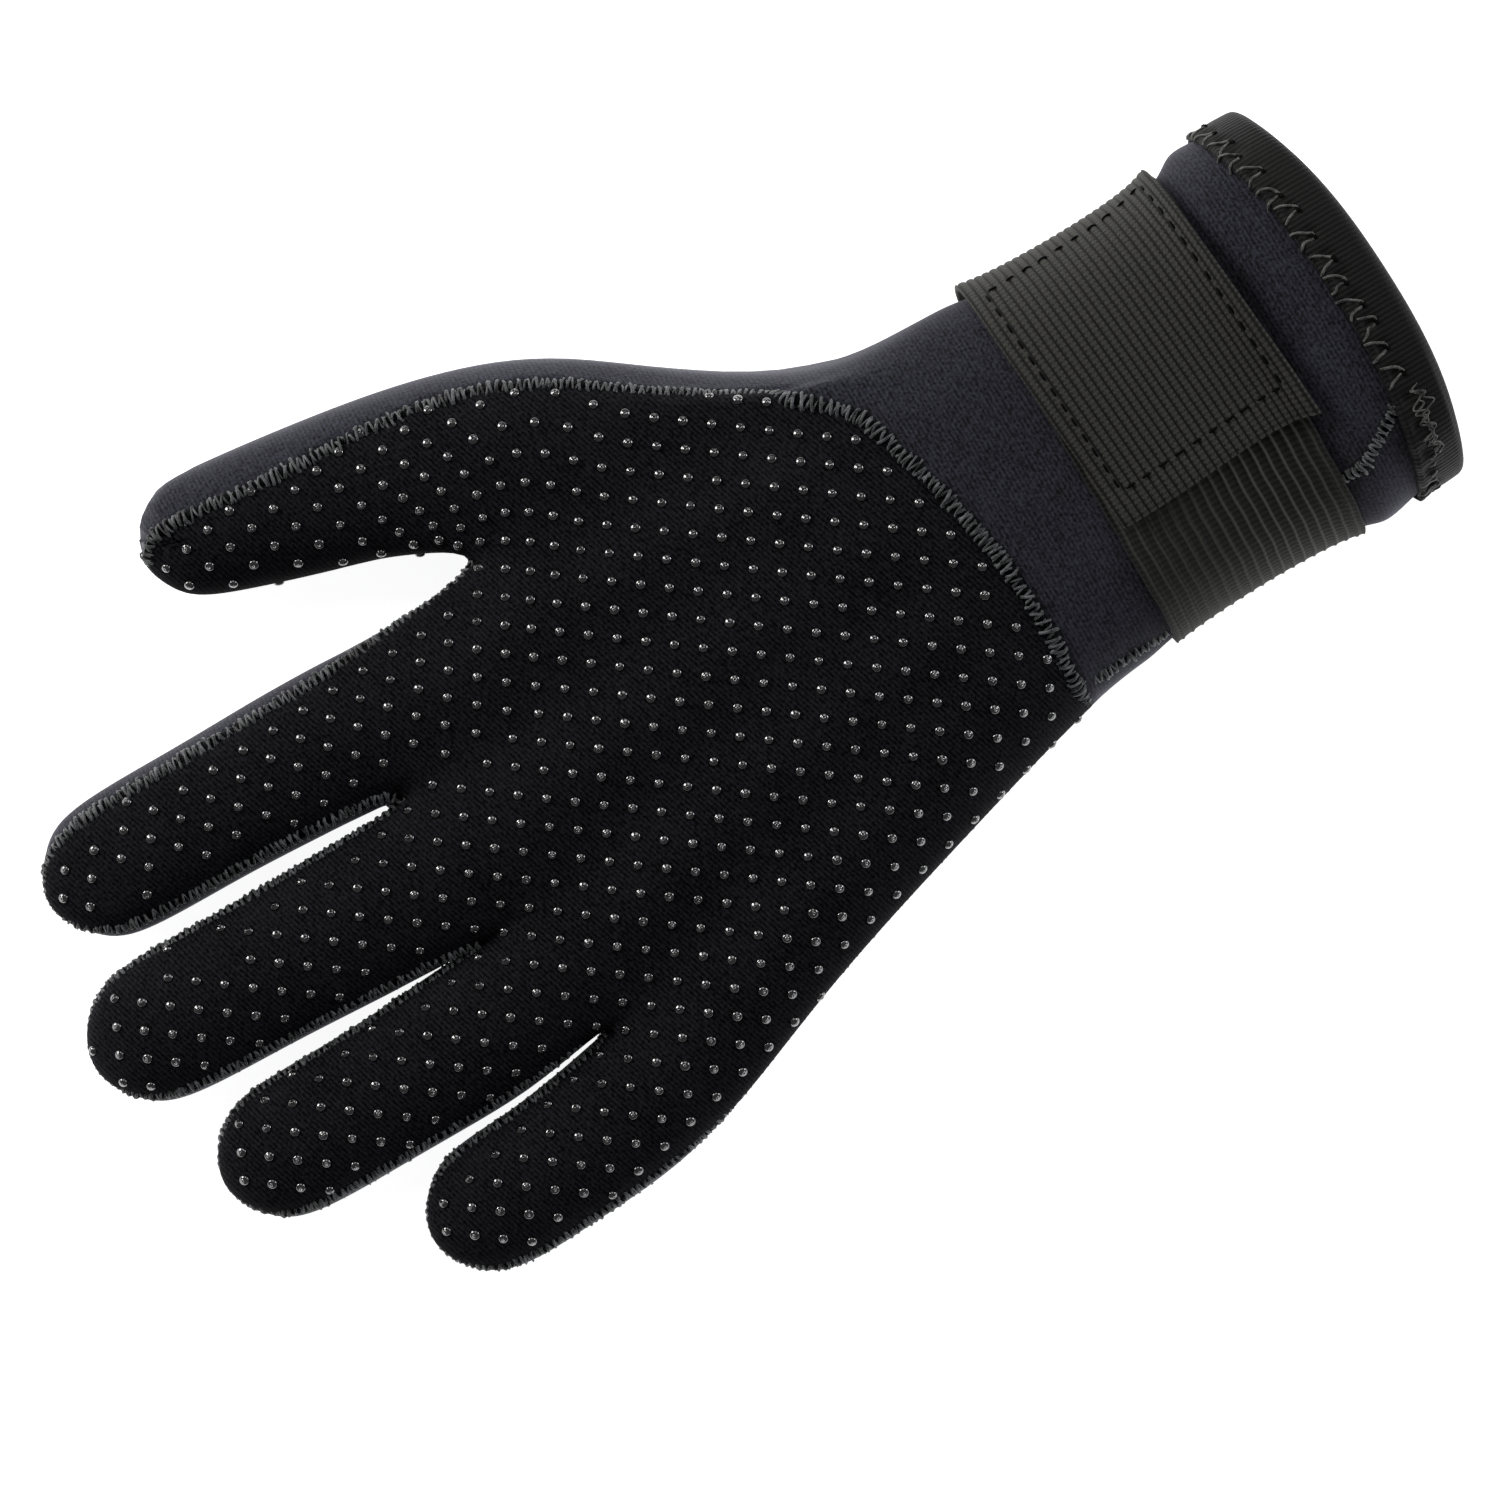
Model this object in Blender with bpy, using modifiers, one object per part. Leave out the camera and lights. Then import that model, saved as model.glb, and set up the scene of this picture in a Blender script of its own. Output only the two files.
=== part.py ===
# A right-hand diving glove that lies on its back with the palm up.
# +Y runs to the fingertips, +X to the thumb and +Z out of the palm. All sizes are in metres.

from collections import namedtuple
from math import atan, cos, radians, sin

import bmesh
import bpy
from mathutils import Matrix, Vector

# Walls and clearances
WALL = 0.0025               # neoprene with a knit face on each side
SEAM_GAP = 0.0003           # between the two panels, along the whole seam
LAY_GAP = 0.0003            # under webbing and tape, to what they lie on
REST_PRESS = 0.0012         # how far the soft back is pressed flat where it rests

# Gauntlet, from the mouth to the wrist edge of the palm panel
MOUTH_WIDTH = 0.0772
MOUTH_THICKNESS = 0.0410
MOUTH_BOW = 0.0054          # the mouth edge bulges this far past its corners
MOUTH_SKEW = 0.0012         # and its thumb side stands this far in, the other side this far out
FLARE_WIDTH = 0.0815        # the gauntlet between its binding and its strap
BINDING_WIDTH = 0.0092
BINDING_THICKNESS = 0.0012
BINDING_TO_STRAP = 0.0108
CINCH_WIDTH = 0.0712        # the gauntlet where the strap draws it in
CINCH_THICKNESS = 0.0360
CINCH_SHIFT = 0.0018        # it stands this far to the little finger side of the mouth there
STRAP_WIDTH = 0.0410
STRAP_THICKNESS = 0.0013
STRAP_TO_PALM = 0.0139
WRIST_WIDTH = 0.0778
WRIST_THICKNESS = 0.0340
WRIST_SHIFT = 0.0014        # and the wrist this far

# Tab: the outer layer of the strap, slightly askew
TAB_REACH = 0.0505          # free end to the thumb side of the strap
TAB_WRAP = 0.0100           # how far it runs down past the middle of the thumb side
TAB_THICKNESS = 0.0013
TAB_OVERHANG = 0.0015       # past each edge of the strap
TAB_SKEW = 3.3              # degrees

# Hand
SEAM_RISE = 0.0187          # the wrist edge of the palm panel climbs this far to the thumb side
PALM_LENGTH = 0.1170        # wrist edge to the highest finger crotch
PALM_THICKNESS = 0.0330
KNUCKLE_THICKNESS = 0.0250
KNUCKLE_DROP = 0.0185       # the outer side of the little finger starts this far back
INDEX_FLARE = 0.0022        # the index side stands out past the side of the wrist
WEB_SLANT = 0.0225          # the deepest web runs this far on towards the tips at the back
FINGER_GAP = 0.0011         # between neighbouring fingers where they part

# Digits
FINGER_THICKNESS = 0.0205
THUMB_THICKNESS = 0.0215
PINKY_WIDTH = 0.0280
RING_WIDTH = 0.0286
MIDDLE_WIDTH = 0.0300
INDEX_WIDTH = 0.0294
THUMB_WIDTH = 0.0262
PINKY_LENGTH = 0.0585
RING_LENGTH = 0.0787
MIDDLE_LENGTH = 0.0838
INDEX_LENGTH = 0.0808
THUMB_LENGTH = 0.0642
THUMB_LEAN = 14.8           # degrees from the hand's length
THUMB_SPREAD = 0.0194       # its axis stands this far outside the thumb crotch

# Fingers from the little finger to the index. root: share of the width that the palm gives it.
# lean: degrees to the thumb side. bow: how far the middle stands out to that side, a share of the width.
# Seam angles: degrees above the middle of the finger's side.
Finger = namedtuple("Finger", "width length root lean bow seam_pinky_side seam_thumb_side seam_tip")
FINGERS = (
    Finger(PINKY_WIDTH, PINKY_LENGTH, 0.957, -4.2, -0.072, 30, 27, 0.45),
    Finger(RING_WIDTH, RING_LENGTH, 0.855, -0.8, -0.050, 32, 24, 0.20),
    Finger(MIDDLE_WIDTH, MIDDLE_LENGTH, 1.002, 2.1, -0.010, 32, 22, 0.10),
    Finger(INDEX_WIDTH, INDEX_LENGTH, 1.055, 1.8, 0.020, 38, 38, 0.30),
)

# The two sides of the hand and the three crotches between the fingers, little finger side first.
# drop and web are shares of KNUCKLE_DROP and WEB_SLANT, height a share of half the thickness.
Crotch = namedtuple("Crotch", "drop web height")
CROTCHES = (
    Crotch(1.00, 0.00, 0.62),
    Crotch(0.49, 0.27, 0.55),
    Crotch(0.16, 1.00, 0.55),
    Crotch(0.00, 0.64, 0.55),
    Crotch(0.75, 0.00, 0.62),
)

# Sections of a finger's shaft. along: share of its length. web: share of the web's slant that is left.
Shaft = namedtuple("Shaft", "along width thickness web")
SHAFTS = (
    Shaft(0.17, 1.06, 1.06, 0.80),
    Shaft(0.38, 1.03, 1.02, 0.40),
    Shaft(0.58, 0.99, 1.00, 0.10),
)

# Sections of a digit's tip. back: distance from the tip. All are shares of the digit's width or thickness,
# lift is how far the underside curls up off the floor.
Tip = namedtuple("Tip", "back width thickness lift")
TIPS = (
    Tip(0.52, 0.97, 0.92, 0.05),
    Tip(0.16, 0.82, 0.66, 0.16),
    Tip(-0.20, 0.00, 0.00, 0.42),
)

# Sections of the thumb from its root. side: offset to its outer side. tilt: degrees that the section is
# turned from square, because the thumb leaves the palm along a long slanting base.
Root = namedtuple("Root", "along side width thickness tilt")
THUMB_ROOTS = (
    Root(-0.07, -0.02, 2.02, 1.25, 58),
    Root(0.20, 0.06, 1.58, 1.12, 40),
    Root(0.47, 0.04, 1.20, 1.04, 19),
)
THUMB_SEAM_OUTER = 46       # degrees above the middle of the thumb's side
THUMB_SEAM_INNER = -25
THUMB_SEAM_TIP = 0.55

# Rows across the palm. along and spread: shares of the way from the wrist edge to the finger roots, spread
# being that of the corners' sideways places. flare: how far the thumb's side stands out, a share of the
# thumb's width. The thumb grows out of the side between the first row and the third.
PalmRow = namedtuple("PalmRow", "along spread flare thickness")
PALM_ROWS = (
    PalmRow(0.00, 0.00, 0.00, WRIST_THICKNESS),
    PalmRow(0.40, 0.35, 0.00, PALM_THICKNESS),
    PalmRow(0.74, 0.66, 0.09, (PALM_THICKNESS + KNUCKLE_THICKNESS) / 2),
    PalmRow(1.00, 1.00, 0.00, KNUCKLE_THICKNESS),
)

# The last two corners of the palm panel's wrist edge, at the thumb's side. side: share of the half width
# there. climb: share of SEAM_RISE. height: share of half the thickness.
SeamEnd = namedtuple("SeamEnd", "side climb height")
SEAM_ENDS = (
    SeamEnd(0.87, 1.90, 0.66),
    SeamEnd(1.19, 1.00, -0.35),
)
SEAM_LOW = -0.45            # where the wrist edge lies lowest, as a share of the half width
PALM_SIDE = 0.6             # seam height at the palm's outer side, as a share of that on the little finger
WEB_CORNER = 0.75           # how far a web's corner follows the seams beside it, as a share

# Columns of the top and of the underside, little finger side first
COLUMNS = 2 * len(FINGERS) + 1
EDGE_COLUMN = 0.86          # the outer column, as a share of the half width
SIDE_OUTSET = 1.05          # the side corner, which the smoothing draws in
FULLNESS = 2.5              # exponent of the gauntlet's section, 2 is an ellipse
FLARE_PLACE = 0.3           # the widest gauntlet, as a share of the way from the strap to the binding
WRIST_PLACE = 0.35          # the full wrist, as a share of the way from the strap to the palm
STRAP_EDGE = 0.3            # how far the gauntlet widens to the wrist's width at the strap's edges

# A section of the gauntlet. shift: how far it stands to the little finger side.
Cut = namedtuple("Cut", "y width thickness shift bow skew")

PALM, BACK, CUFF, SLEEVE = range(4)
CUT_REACH = 2               # how far a cutter reaches past what it cuts, as a multiple of its size

STRAP_START = BINDING_WIDTH + BINDING_TO_STRAP
STRAP_END = STRAP_START + STRAP_WIDTH
PALM_START = STRAP_END + STRAP_TO_PALM
STRAP_STACK = LAY_GAP + STRAP_THICKNESS
GAUNTLET_LIFT = STRAP_STACK + LAY_GAP


def mix(a, b, share):
    return a + (b - a) * share


def floor_height(y):
    """The strap lies under the gauntlet, so its underside is raised; the hand comes down to the floor."""
    share = min(max((PALM_START - y) / STRAP_TO_PALM, 0.0), 1.0)
    return GAUNTLET_LIFT * share * share * (3 - 2 * share)


def around(top, right, bottom, left):
    """One closed row of the cage: over the top to the thumb side, back underneath."""
    return list(top) + [right] + list(reversed(bottom)) + [left]


def gauntlet_row(y, width, shift, bow=0.0, skew=0.0, rise=0.0):
    """Corners as (x, y, height), height being a share of half the thickness."""
    half = width / 2
    middle = -shift
    shares = [EDGE_COLUMN * (2 * i / (COLUMNS - 1) - 1) for i in range(COLUMNS)]
    heights = [(1 - abs(s) ** FULLNESS) ** (1 / FULLNESS) for s in shares]
    bows = [skew * s - bow * (1 - abs(s) ** FULLNESS) for s in shares]
    rises = [rise * ((s - SEAM_LOW) / (1 - SEAM_LOW)) ** 2 for s in shares]
    top = [(middle + half * s, y + b + r, h) for s, h, b, r in zip(shares, heights, bows, rises)]
    bottom = [(middle + half * s, y + b, -h) for s, h, b in zip(shares, heights, bows)]
    side = half * SIDE_OUTSET
    return around(top, (middle + side, y + skew, 0.0), bottom, (middle - side, y - skew, 0.0))


def seam_row():
    """The row along the wrist edge of the palm panel, whose thumb end runs on into the thumb's seam."""
    row = gauntlet_row(PALM_START, WRIST_WIDTH, WRIST_SHIFT, rise=SEAM_RISE)
    side = WRIST_WIDTH / 2 - WRIST_SHIFT
    for i, end in enumerate(SEAM_ENDS):
        row[COLUMNS + i] = (side * end.side, PALM_START + SEAM_RISE * end.climb, end.height)
    return row


def crotch_points():
    """Where the sides of the hand and the crotches cross the finger roots, as (x, y)."""
    x = WRIST_WIDTH / 2 - WRIST_SHIFT + INDEX_FLARE
    xs = [x]
    for finger in reversed(FINGERS):
        x -= finger.width * finger.root
        xs.insert(0, x)
    top = PALM_START + PALM_LENGTH
    return [(x, top - c.drop * KNUCKLE_DROP) for x, c in zip(xs, CROTCHES)]


def seam_share(degrees):
    """How far down a section a seam lies, 0 at the palm's surface and 1 at the back."""
    return (1 - sin(radians(degrees))) / 2


def knuckle_row():
    """The row along the finger roots: a corner at each crotch and one over the middle of each finger."""
    points = crotch_points()
    top, bottom = [], []
    last = len(CROTCHES) - 1
    for i, ((x, y), crotch) in enumerate(zip(points, CROTCHES)):
        if i == 0:
            x += FINGERS[0].width * (1 - EDGE_COLUMN)
        if i == last:
            x -= FINGERS[-1].width * (1 - EDGE_COLUMN)
        top.append((x, y, crotch.height))
        bottom.append((x, y + crotch.web * WEB_SLANT, -crotch.height))
        if i < last:
            nx, ny = points[i + 1]
            web = (crotch.web + CROTCHES[i + 1].web) / 2 * WEB_SLANT
            top.append(((points[i][0] + nx) / 2, (y + ny) / 2, 1.0))
            bottom.append(((points[i][0] + nx) / 2, (y + ny) / 2 + web, -1.0))
    left = (points[0][0], points[0][1], sin(radians(FINGERS[0].seam_pinky_side)) * PALM_SIDE)
    right = (points[-1][0], points[-1][1], sin(radians(FINGERS[-1].seam_thumb_side)))
    return around(top, right, bottom, left)


def add_row(cage, row, thickness):
    """Corners of a row whose underside lies on the floor, pressed down a little."""
    verts = []
    for x, y, height in row:
        middle = floor_height(y) - REST_PRESS + thickness / 2
        verts.append(cage.verts.new((x, y, middle + height * thickness / 2)))
    return verts


def add_band(cage, near, far, materials, skip=()):
    """Quads between two closed rows of corners."""
    count = len(near)
    for i in range(count):
        if i not in skip:
            j = (i + 1) % count
            face = cage.faces.new((near[i], near[j], far[j], far[i]))
            face.material_index = materials[i]


def add_hand(cage):
    """Mouth to finger roots. Returns the rows of the palm."""
    sides = [PALM] * COLUMNS + [BACK] * COLUMNS + [BACK, PALM]
    edge_width = mix(CINCH_WIDTH, WRIST_WIDTH, STRAP_EDGE)
    flare_start = STRAP_START - BINDING_TO_STRAP * FLARE_PLACE
    wrist_start = STRAP_END + STRAP_TO_PALM * WRIST_PLACE
    cuts = (
        Cut(LAY_GAP + BINDING_THICKNESS, MOUTH_WIDTH, MOUTH_THICKNESS, 0.0, MOUTH_BOW, MOUTH_SKEW),
        Cut(BINDING_WIDTH, MOUTH_WIDTH, MOUTH_THICKNESS, 0.0, MOUTH_BOW, MOUTH_SKEW),
        Cut(flare_start, FLARE_WIDTH, MOUTH_THICKNESS, CINCH_SHIFT / 2, 0.0, 0.0),
        Cut(STRAP_START, edge_width, CINCH_THICKNESS, CINCH_SHIFT, 0.0, 0.0),
        Cut((STRAP_START + STRAP_END) / 2, CINCH_WIDTH, CINCH_THICKNESS, CINCH_SHIFT, 0.0, 0.0),
        Cut(STRAP_END, edge_width, CINCH_THICKNESS, CINCH_SHIFT, 0.0, 0.0),
        Cut(wrist_start, WRIST_WIDTH, WRIST_THICKNESS, WRIST_SHIFT, 0.0, 0.0),
    )
    rows = [add_row(cage, gauntlet_row(cut.y, cut.width, cut.shift, cut.bow, cut.skew), cut.thickness)
            for cut in cuts]
    wrist, knuckles = seam_row(), knuckle_row()
    palm = []
    for row in PALM_ROWS:
        blend = [(mix(a[0], b[0], row.spread), mix(a[1], b[1], row.along), mix(a[2], b[2], row.along))
                 for a, b in zip(wrist, knuckles)]
        for i in (COLUMNS - 1, COLUMNS, COLUMNS + 1):
            blend[i] = (blend[i][0] + row.flare * THUMB_WIDTH, *blend[i][1:])
        palm.append(add_row(cage, blend, row.thickness))
    rows.append(palm[0])
    for i in range(len(rows) - 1):
        add_band(cage, rows[i], rows[i + 1], [CUFF if i == 0 else SLEEVE] * len(rows[i]))
    thumb_hole = (COLUMNS - 1, COLUMNS)
    for i in range(len(palm) - 1):
        add_band(cage, palm[i], palm[i + 1], sides, thumb_hole if i < 2 else ())
    return palm


def digit_ring(cage, centre, across, forward, width, thickness, seam_left, seam_right, slant=0.0):
    """Eight corners of a digit's section. Each is pushed out by what the smoothing takes back."""
    over = [(90 + seam_right) / 2, seam_right, (seam_right - 90) / 2]
    back = [180 - (seam_left - 90) / 2, 180 - seam_left, 180 - (90 + seam_left) / 2]
    angles = [back[2], 90, over[0], over[1], over[2], -90, back[0] - 360, back[1] - 360]
    turns = [(angles[i] - angles[(i + 1) % 8]) % 360 for i in range(8)]
    verts = []
    for i, angle in enumerate(angles):
        push = 6 / (4 + cos(radians(turns[i - 1])) + cos(radians(turns[i])))
        sideways = across * (push * cos(radians(angle)) * width / 2)
        upward = Vector((0, 0, push * sin(radians(angle)) * thickness / 2))
        onward = forward * (slant * (1 - sin(radians(angle))) / 2)
        verts.append(cage.verts.new(centre + sideways + upward + onward))
    return verts


def close_tip(cage, ring, tip):
    """Four quads from the last ring to the tip; the seam crosses the tip between them."""
    end = cage.verts.new(tip)
    for i, material in ((7, PALM), (1, PALM), (3, BACK), (5, BACK)):
        face = cage.faces.new((ring[i], ring[(i + 1) % 8], ring[(i + 2) % 8], end))
        face.material_index = material


def grow_digit(cage, base, rings, tip):
    """Bands from the base over all rings, closed at the tip."""
    half = [PALM, PALM, PALM, BACK, BACK, BACK, BACK, PALM]
    for ring in rings:
        add_band(cage, base, ring, half)
        base = ring
    close_tip(cage, base, tip)


def directions(lean):
    """Along a digit and across it to the thumb side, for a lean in radians."""
    return Vector((sin(lean), cos(lean), 0)), Vector((cos(lean), -sin(lean), 0))


def bowed(root, lean, length, bow, along):
    """A point of a digit's curved middle line, with the directions along and across it there."""
    forward, across = directions(lean)
    point = root + forward * (along * length) + across * (4 * bow * along * (1 - along))
    return point, *directions(lean + atan(4 * bow * (1 - 2 * along) / length))


def tip_sections(cage, root, lean, length, bow, width, thickness, seams, seam_tip):
    """The rings of a digit's rounded end and its end point."""
    rings = []
    for tip in TIPS:
        centre, forward, across = bowed(root, lean, length, bow, 1 - tip.back * width / length)
        centre.z = thickness * (tip.thickness / 2 + tip.lift) - REST_PRESS
        if tip.width:
            rings.append(digit_ring(
                cage, centre, across, forward, tip.width * width, tip.thickness * thickness, *seams))
    return rings, centre + Vector((0, 0, seam_tip * thickness / 2))


def add_finger(cage, finger, i, knuckles, sides):
    """A finger on the eight corners that the knuckle row and the webs give it."""
    low, high, under = 2 * i, 2 * i + 2, 2 * COLUMNS
    base = [knuckles[low], knuckles[low + 1], knuckles[high], sides[i + 1],
            knuckles[under - high], knuckles[under - high + 1], knuckles[under - low], sides[i]]
    points = crotch_points()
    root = Vector(((points[i][0] + points[i + 1][0]) / 2, (points[i][1] + points[i + 1][1]) / 2, 0))
    lean, bow = radians(finger.lean), finger.bow * finger.width
    web = (CROTCHES[i].web + CROTCHES[i + 1].web) / 2 * WEB_SLANT
    seams = (finger.seam_pinky_side, finger.seam_thumb_side)
    rings = []
    for shaft in SHAFTS:
        thickness = shaft.thickness * FINGER_THICKNESS
        centre, forward, across = bowed(root, lean, finger.length, bow, shaft.along)
        centre.z = thickness / 2 - REST_PRESS
        width = shaft.width * finger.width - FINGER_GAP
        rings.append(digit_ring(
            cage, centre, across, forward, width, thickness, *seams, slant=web * shaft.web))
    ends, tip = tip_sections(
        cage, root, lean, finger.length, bow, finger.width, FINGER_THICKNESS, seams, finger.seam_tip)
    grow_digit(cage, base, rings + ends, tip)


def add_thumb(cage, palm):
    """The thumb on the hole in the palm's side; its base runs along the first three palm rows."""
    top, side, under = COLUMNS - 1, COLUMNS, COLUMNS + 1
    base = [palm[2][top], palm[1][top], palm[0][top], palm[0][side],
            palm[0][under], palm[1][under], palm[2][under], palm[2][side]]
    forward, across = directions(radians(THUMB_LEAN))
    crotch = palm[2][side].co
    root = Vector((crotch.x, crotch.y, 0)) + across * THUMB_SPREAD
    seams = (THUMB_SEAM_INNER, THUMB_SEAM_OUTER)
    rings = []
    for row in THUMB_ROOTS:
        thickness = row.thickness * THUMB_THICKNESS
        centre = root + forward * (row.along * THUMB_LENGTH) + across * (row.side * THUMB_WIDTH)
        centre.z = thickness / 2 - REST_PRESS
        tilt = radians(row.tilt)
        turned = across * cos(tilt) - forward * sin(tilt)
        rings.append(digit_ring(cage, centre, turned, forward, row.width * THUMB_WIDTH, thickness, *seams))
    lean = radians(THUMB_LEAN)
    ends, tip = tip_sections(
        cage, root, lean, THUMB_LENGTH, 0.0, THUMB_WIDTH, THUMB_THICKNESS, seams, THUMB_SEAM_TIP)
    grow_digit(cage, base, rings + ends, tip)


def side_corners(cage, knuckles):
    """The corners at the fingers' sides: the hand's two sides, and in each web one that two fingers share."""
    points = crotch_points()
    corners = [knuckles[-1]]
    for i in range(1, len(FINGERS)):
        x, y = points[i]
        angle = (FINGERS[i - 1].seam_thumb_side + FINGERS[i].seam_pinky_side) / 2
        onward = CROTCHES[i].web * WEB_SLANT * seam_share(angle)
        height = KNUCKLE_THICKNESS / 2 * (1 + WEB_CORNER * sin(radians(angle))) - REST_PRESS
        corners.append(cage.verts.new((x, y + onward, height)))
    return corners + [knuckles[COLUMNS]]


def glove_surface():
    """The outer surface of the whole glove: a coarse cage, smoothed, then pressed flat where it rests."""
    cage = bmesh.new()
    palm = add_hand(cage)
    sides = side_corners(cage, palm[-1])
    for i, finger in enumerate(FINGERS):
        add_finger(cage, finger, i, palm[-1], sides)
    add_thumb(cage, palm)
    for vert in [v for v in cage.verts if not v.link_faces]:
        cage.verts.remove(vert)
    surface = evaluated("glove_cage", cage, smooth_modifier)
    for vert in surface.vertices:
        vert.co.z = max(vert.co.z, floor_height(vert.co.y))
    return surface


def smooth_modifier(thing):
    smooth = thing.modifiers.new("smooth", "SUBSURF")
    smooth.levels = smooth.render_levels = 1


def wall_modifier(thing, thickness, outward):
    wall = thing.modifiers.new("wall", "SOLIDIFY")
    wall.thickness = thickness
    wall.offset = 1 if outward else -1
    wall.use_even_offset = True
    wall.use_quality_normals = True


def evaluated(name, source, add_modifier):
    """The mesh that a modifier makes from a bmesh or a mesh; the helper object goes again."""
    mesh = source
    if isinstance(source, bmesh.types.BMesh):
        mesh = bpy.data.meshes.new(name)
        source.to_mesh(mesh)
        source.free()
    thing = bpy.data.objects.new(name, mesh)
    bpy.context.scene.collection.objects.link(thing)
    add_modifier(thing)
    graph = bpy.context.evaluated_depsgraph_get()
    made = bpy.data.meshes.new_from_object(thing.evaluated_get(graph))
    bpy.data.objects.remove(thing)
    return made


def keep_faces(mesh, wanted):
    """A bmesh copy with only the wanted faces."""
    patch = bmesh.new()
    patch.from_mesh(mesh)
    patch.faces.ensure_lookup_table()
    loose = [f for f in patch.faces if not wanted(f)]
    bmesh.ops.delete(patch, geom=loose, context="FACES")
    return patch


def panel(wall_mesh, regions):
    """The part of the glove's wall in some regions, closed along the seam and drawn back from it."""
    patch = keep_faces(wall_mesh, lambda f: f.material_index in regions)
    rim = [e for e in patch.edges if e.is_boundary]
    moves = {}
    for vert in {v for e in rim for v in e.verts}:
        along = sum(((e.other_vert(vert).co - vert.co) * sign
                     for e, sign in zip([e for e in vert.link_edges if e.is_boundary], (1, -1))), Vector())
        inward = sum((f.calc_center_median() - vert.co for f in vert.link_faces), Vector())
        inward -= inward.project(along)
        moves[vert] = inward.normalized() * (SEAM_GAP / 2)
    for vert, move in moves.items():
        vert.co += move
    walls = bmesh.ops.bridge_loops(patch, edges=rim)["faces"]
    bmesh.ops.triangulate(patch, faces=walls, quad_method="SHORT_EDGE")
    return patch


def lifted(patch, distance):
    """The patch moved out along its normals by an even distance."""
    patch.normal_update()
    moves = [(v, v.normal * (distance * v.calc_shell_factor())) for v in patch.verts]
    for vert, move in moves:
        vert.co += move
    return patch


def cutter(name, size, middle, turn, origin, collection):
    """A box that keeps the stretch of a sleeve that lies inside it."""
    mesh = bpy.data.meshes.new(name)
    box = bmesh.new()
    bmesh.ops.create_cube(box, size=1, matrix=Matrix.Diagonal((*size, 1)))
    box.to_mesh(mesh)
    box.free()
    thing = bpy.data.objects.new(name, mesh)
    thing.location = middle
    thing.rotation_euler.z = turn
    thing.parent = origin
    thing.hide_render = True
    thing.display_type = "WIRE"
    collection.objects.link(thing)
    return thing


def strap_cutter(origin, collection):
    size = Vector((CUT_REACH * WRIST_WIDTH, STRAP_WIDTH, 2 * CUT_REACH * CINCH_THICKNESS))
    return cutter("strap_cut", size, Vector((0, (STRAP_START + STRAP_END) / 2, 0)), 0, origin, collection)


def tab_cutter(origin, collection):
    """From the free end over the palm side and down behind the thumb side, a little askew."""
    turn = radians(TAB_SKEW)
    corner = Vector((CINCH_WIDTH / 2 - CINCH_SHIFT, STRAP_END + TAB_OVERHANG,
                     GAUNTLET_LIFT + CINCH_THICKNESS / 2 - TAB_WRAP))
    size = Vector((CUT_REACH * TAB_REACH, STRAP_WIDTH + TAB_OVERHANG, CUT_REACH * CINCH_THICKNESS))
    across, along = Vector((cos(turn), sin(turn), 0)), Vector((-sin(turn), cos(turn), 0))
    middle = corner + across * (size.x / 2 - TAB_REACH) - along * (size.y / 2)
    middle.z += size.z / 2
    return cutter("tab_cut", size, middle, turn, origin, collection)


def material(name, colour, roughness):
    made = bpy.data.materials.new(name)
    made.use_nodes = True
    shader = made.node_tree.nodes["Principled BSDF"]
    shader.inputs["Base Color"].default_value = (*colour, 1)
    shader.inputs["Roughness"].default_value = roughness
    shader.inputs["Metallic"].default_value = 0.0
    return made


def add_piece(name, patch, look, parent, collection):
    mesh = bpy.data.meshes.new(name)
    patch.normal_update()
    patch.to_mesh(mesh)
    patch.free()
    mesh.materials.clear()
    mesh.materials.append(look)
    for face in mesh.polygons:
        face.material_index = 0
    mesh.shade_smooth()
    mesh.set_sharp_from_angle(angle=radians(40))
    piece = bpy.data.objects.new(name, mesh)
    piece.parent = parent
    collection.objects.link(piece)
    return piece


def centre_on_floor(origin, pieces):
    """Moves the parent so that the middle of the footprint is the origin."""
    graph = bpy.context.evaluated_depsgraph_get()
    corners = [p.matrix_world @ Vector(c) for p in pieces for c in p.evaluated_get(graph).bound_box]
    for axis in (0, 1):
        values = [c[axis] for c in corners]
        origin.location[axis] = -(min(values) + max(values)) / 2
    origin.location.z = -min(c.z for c in corners)


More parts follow.
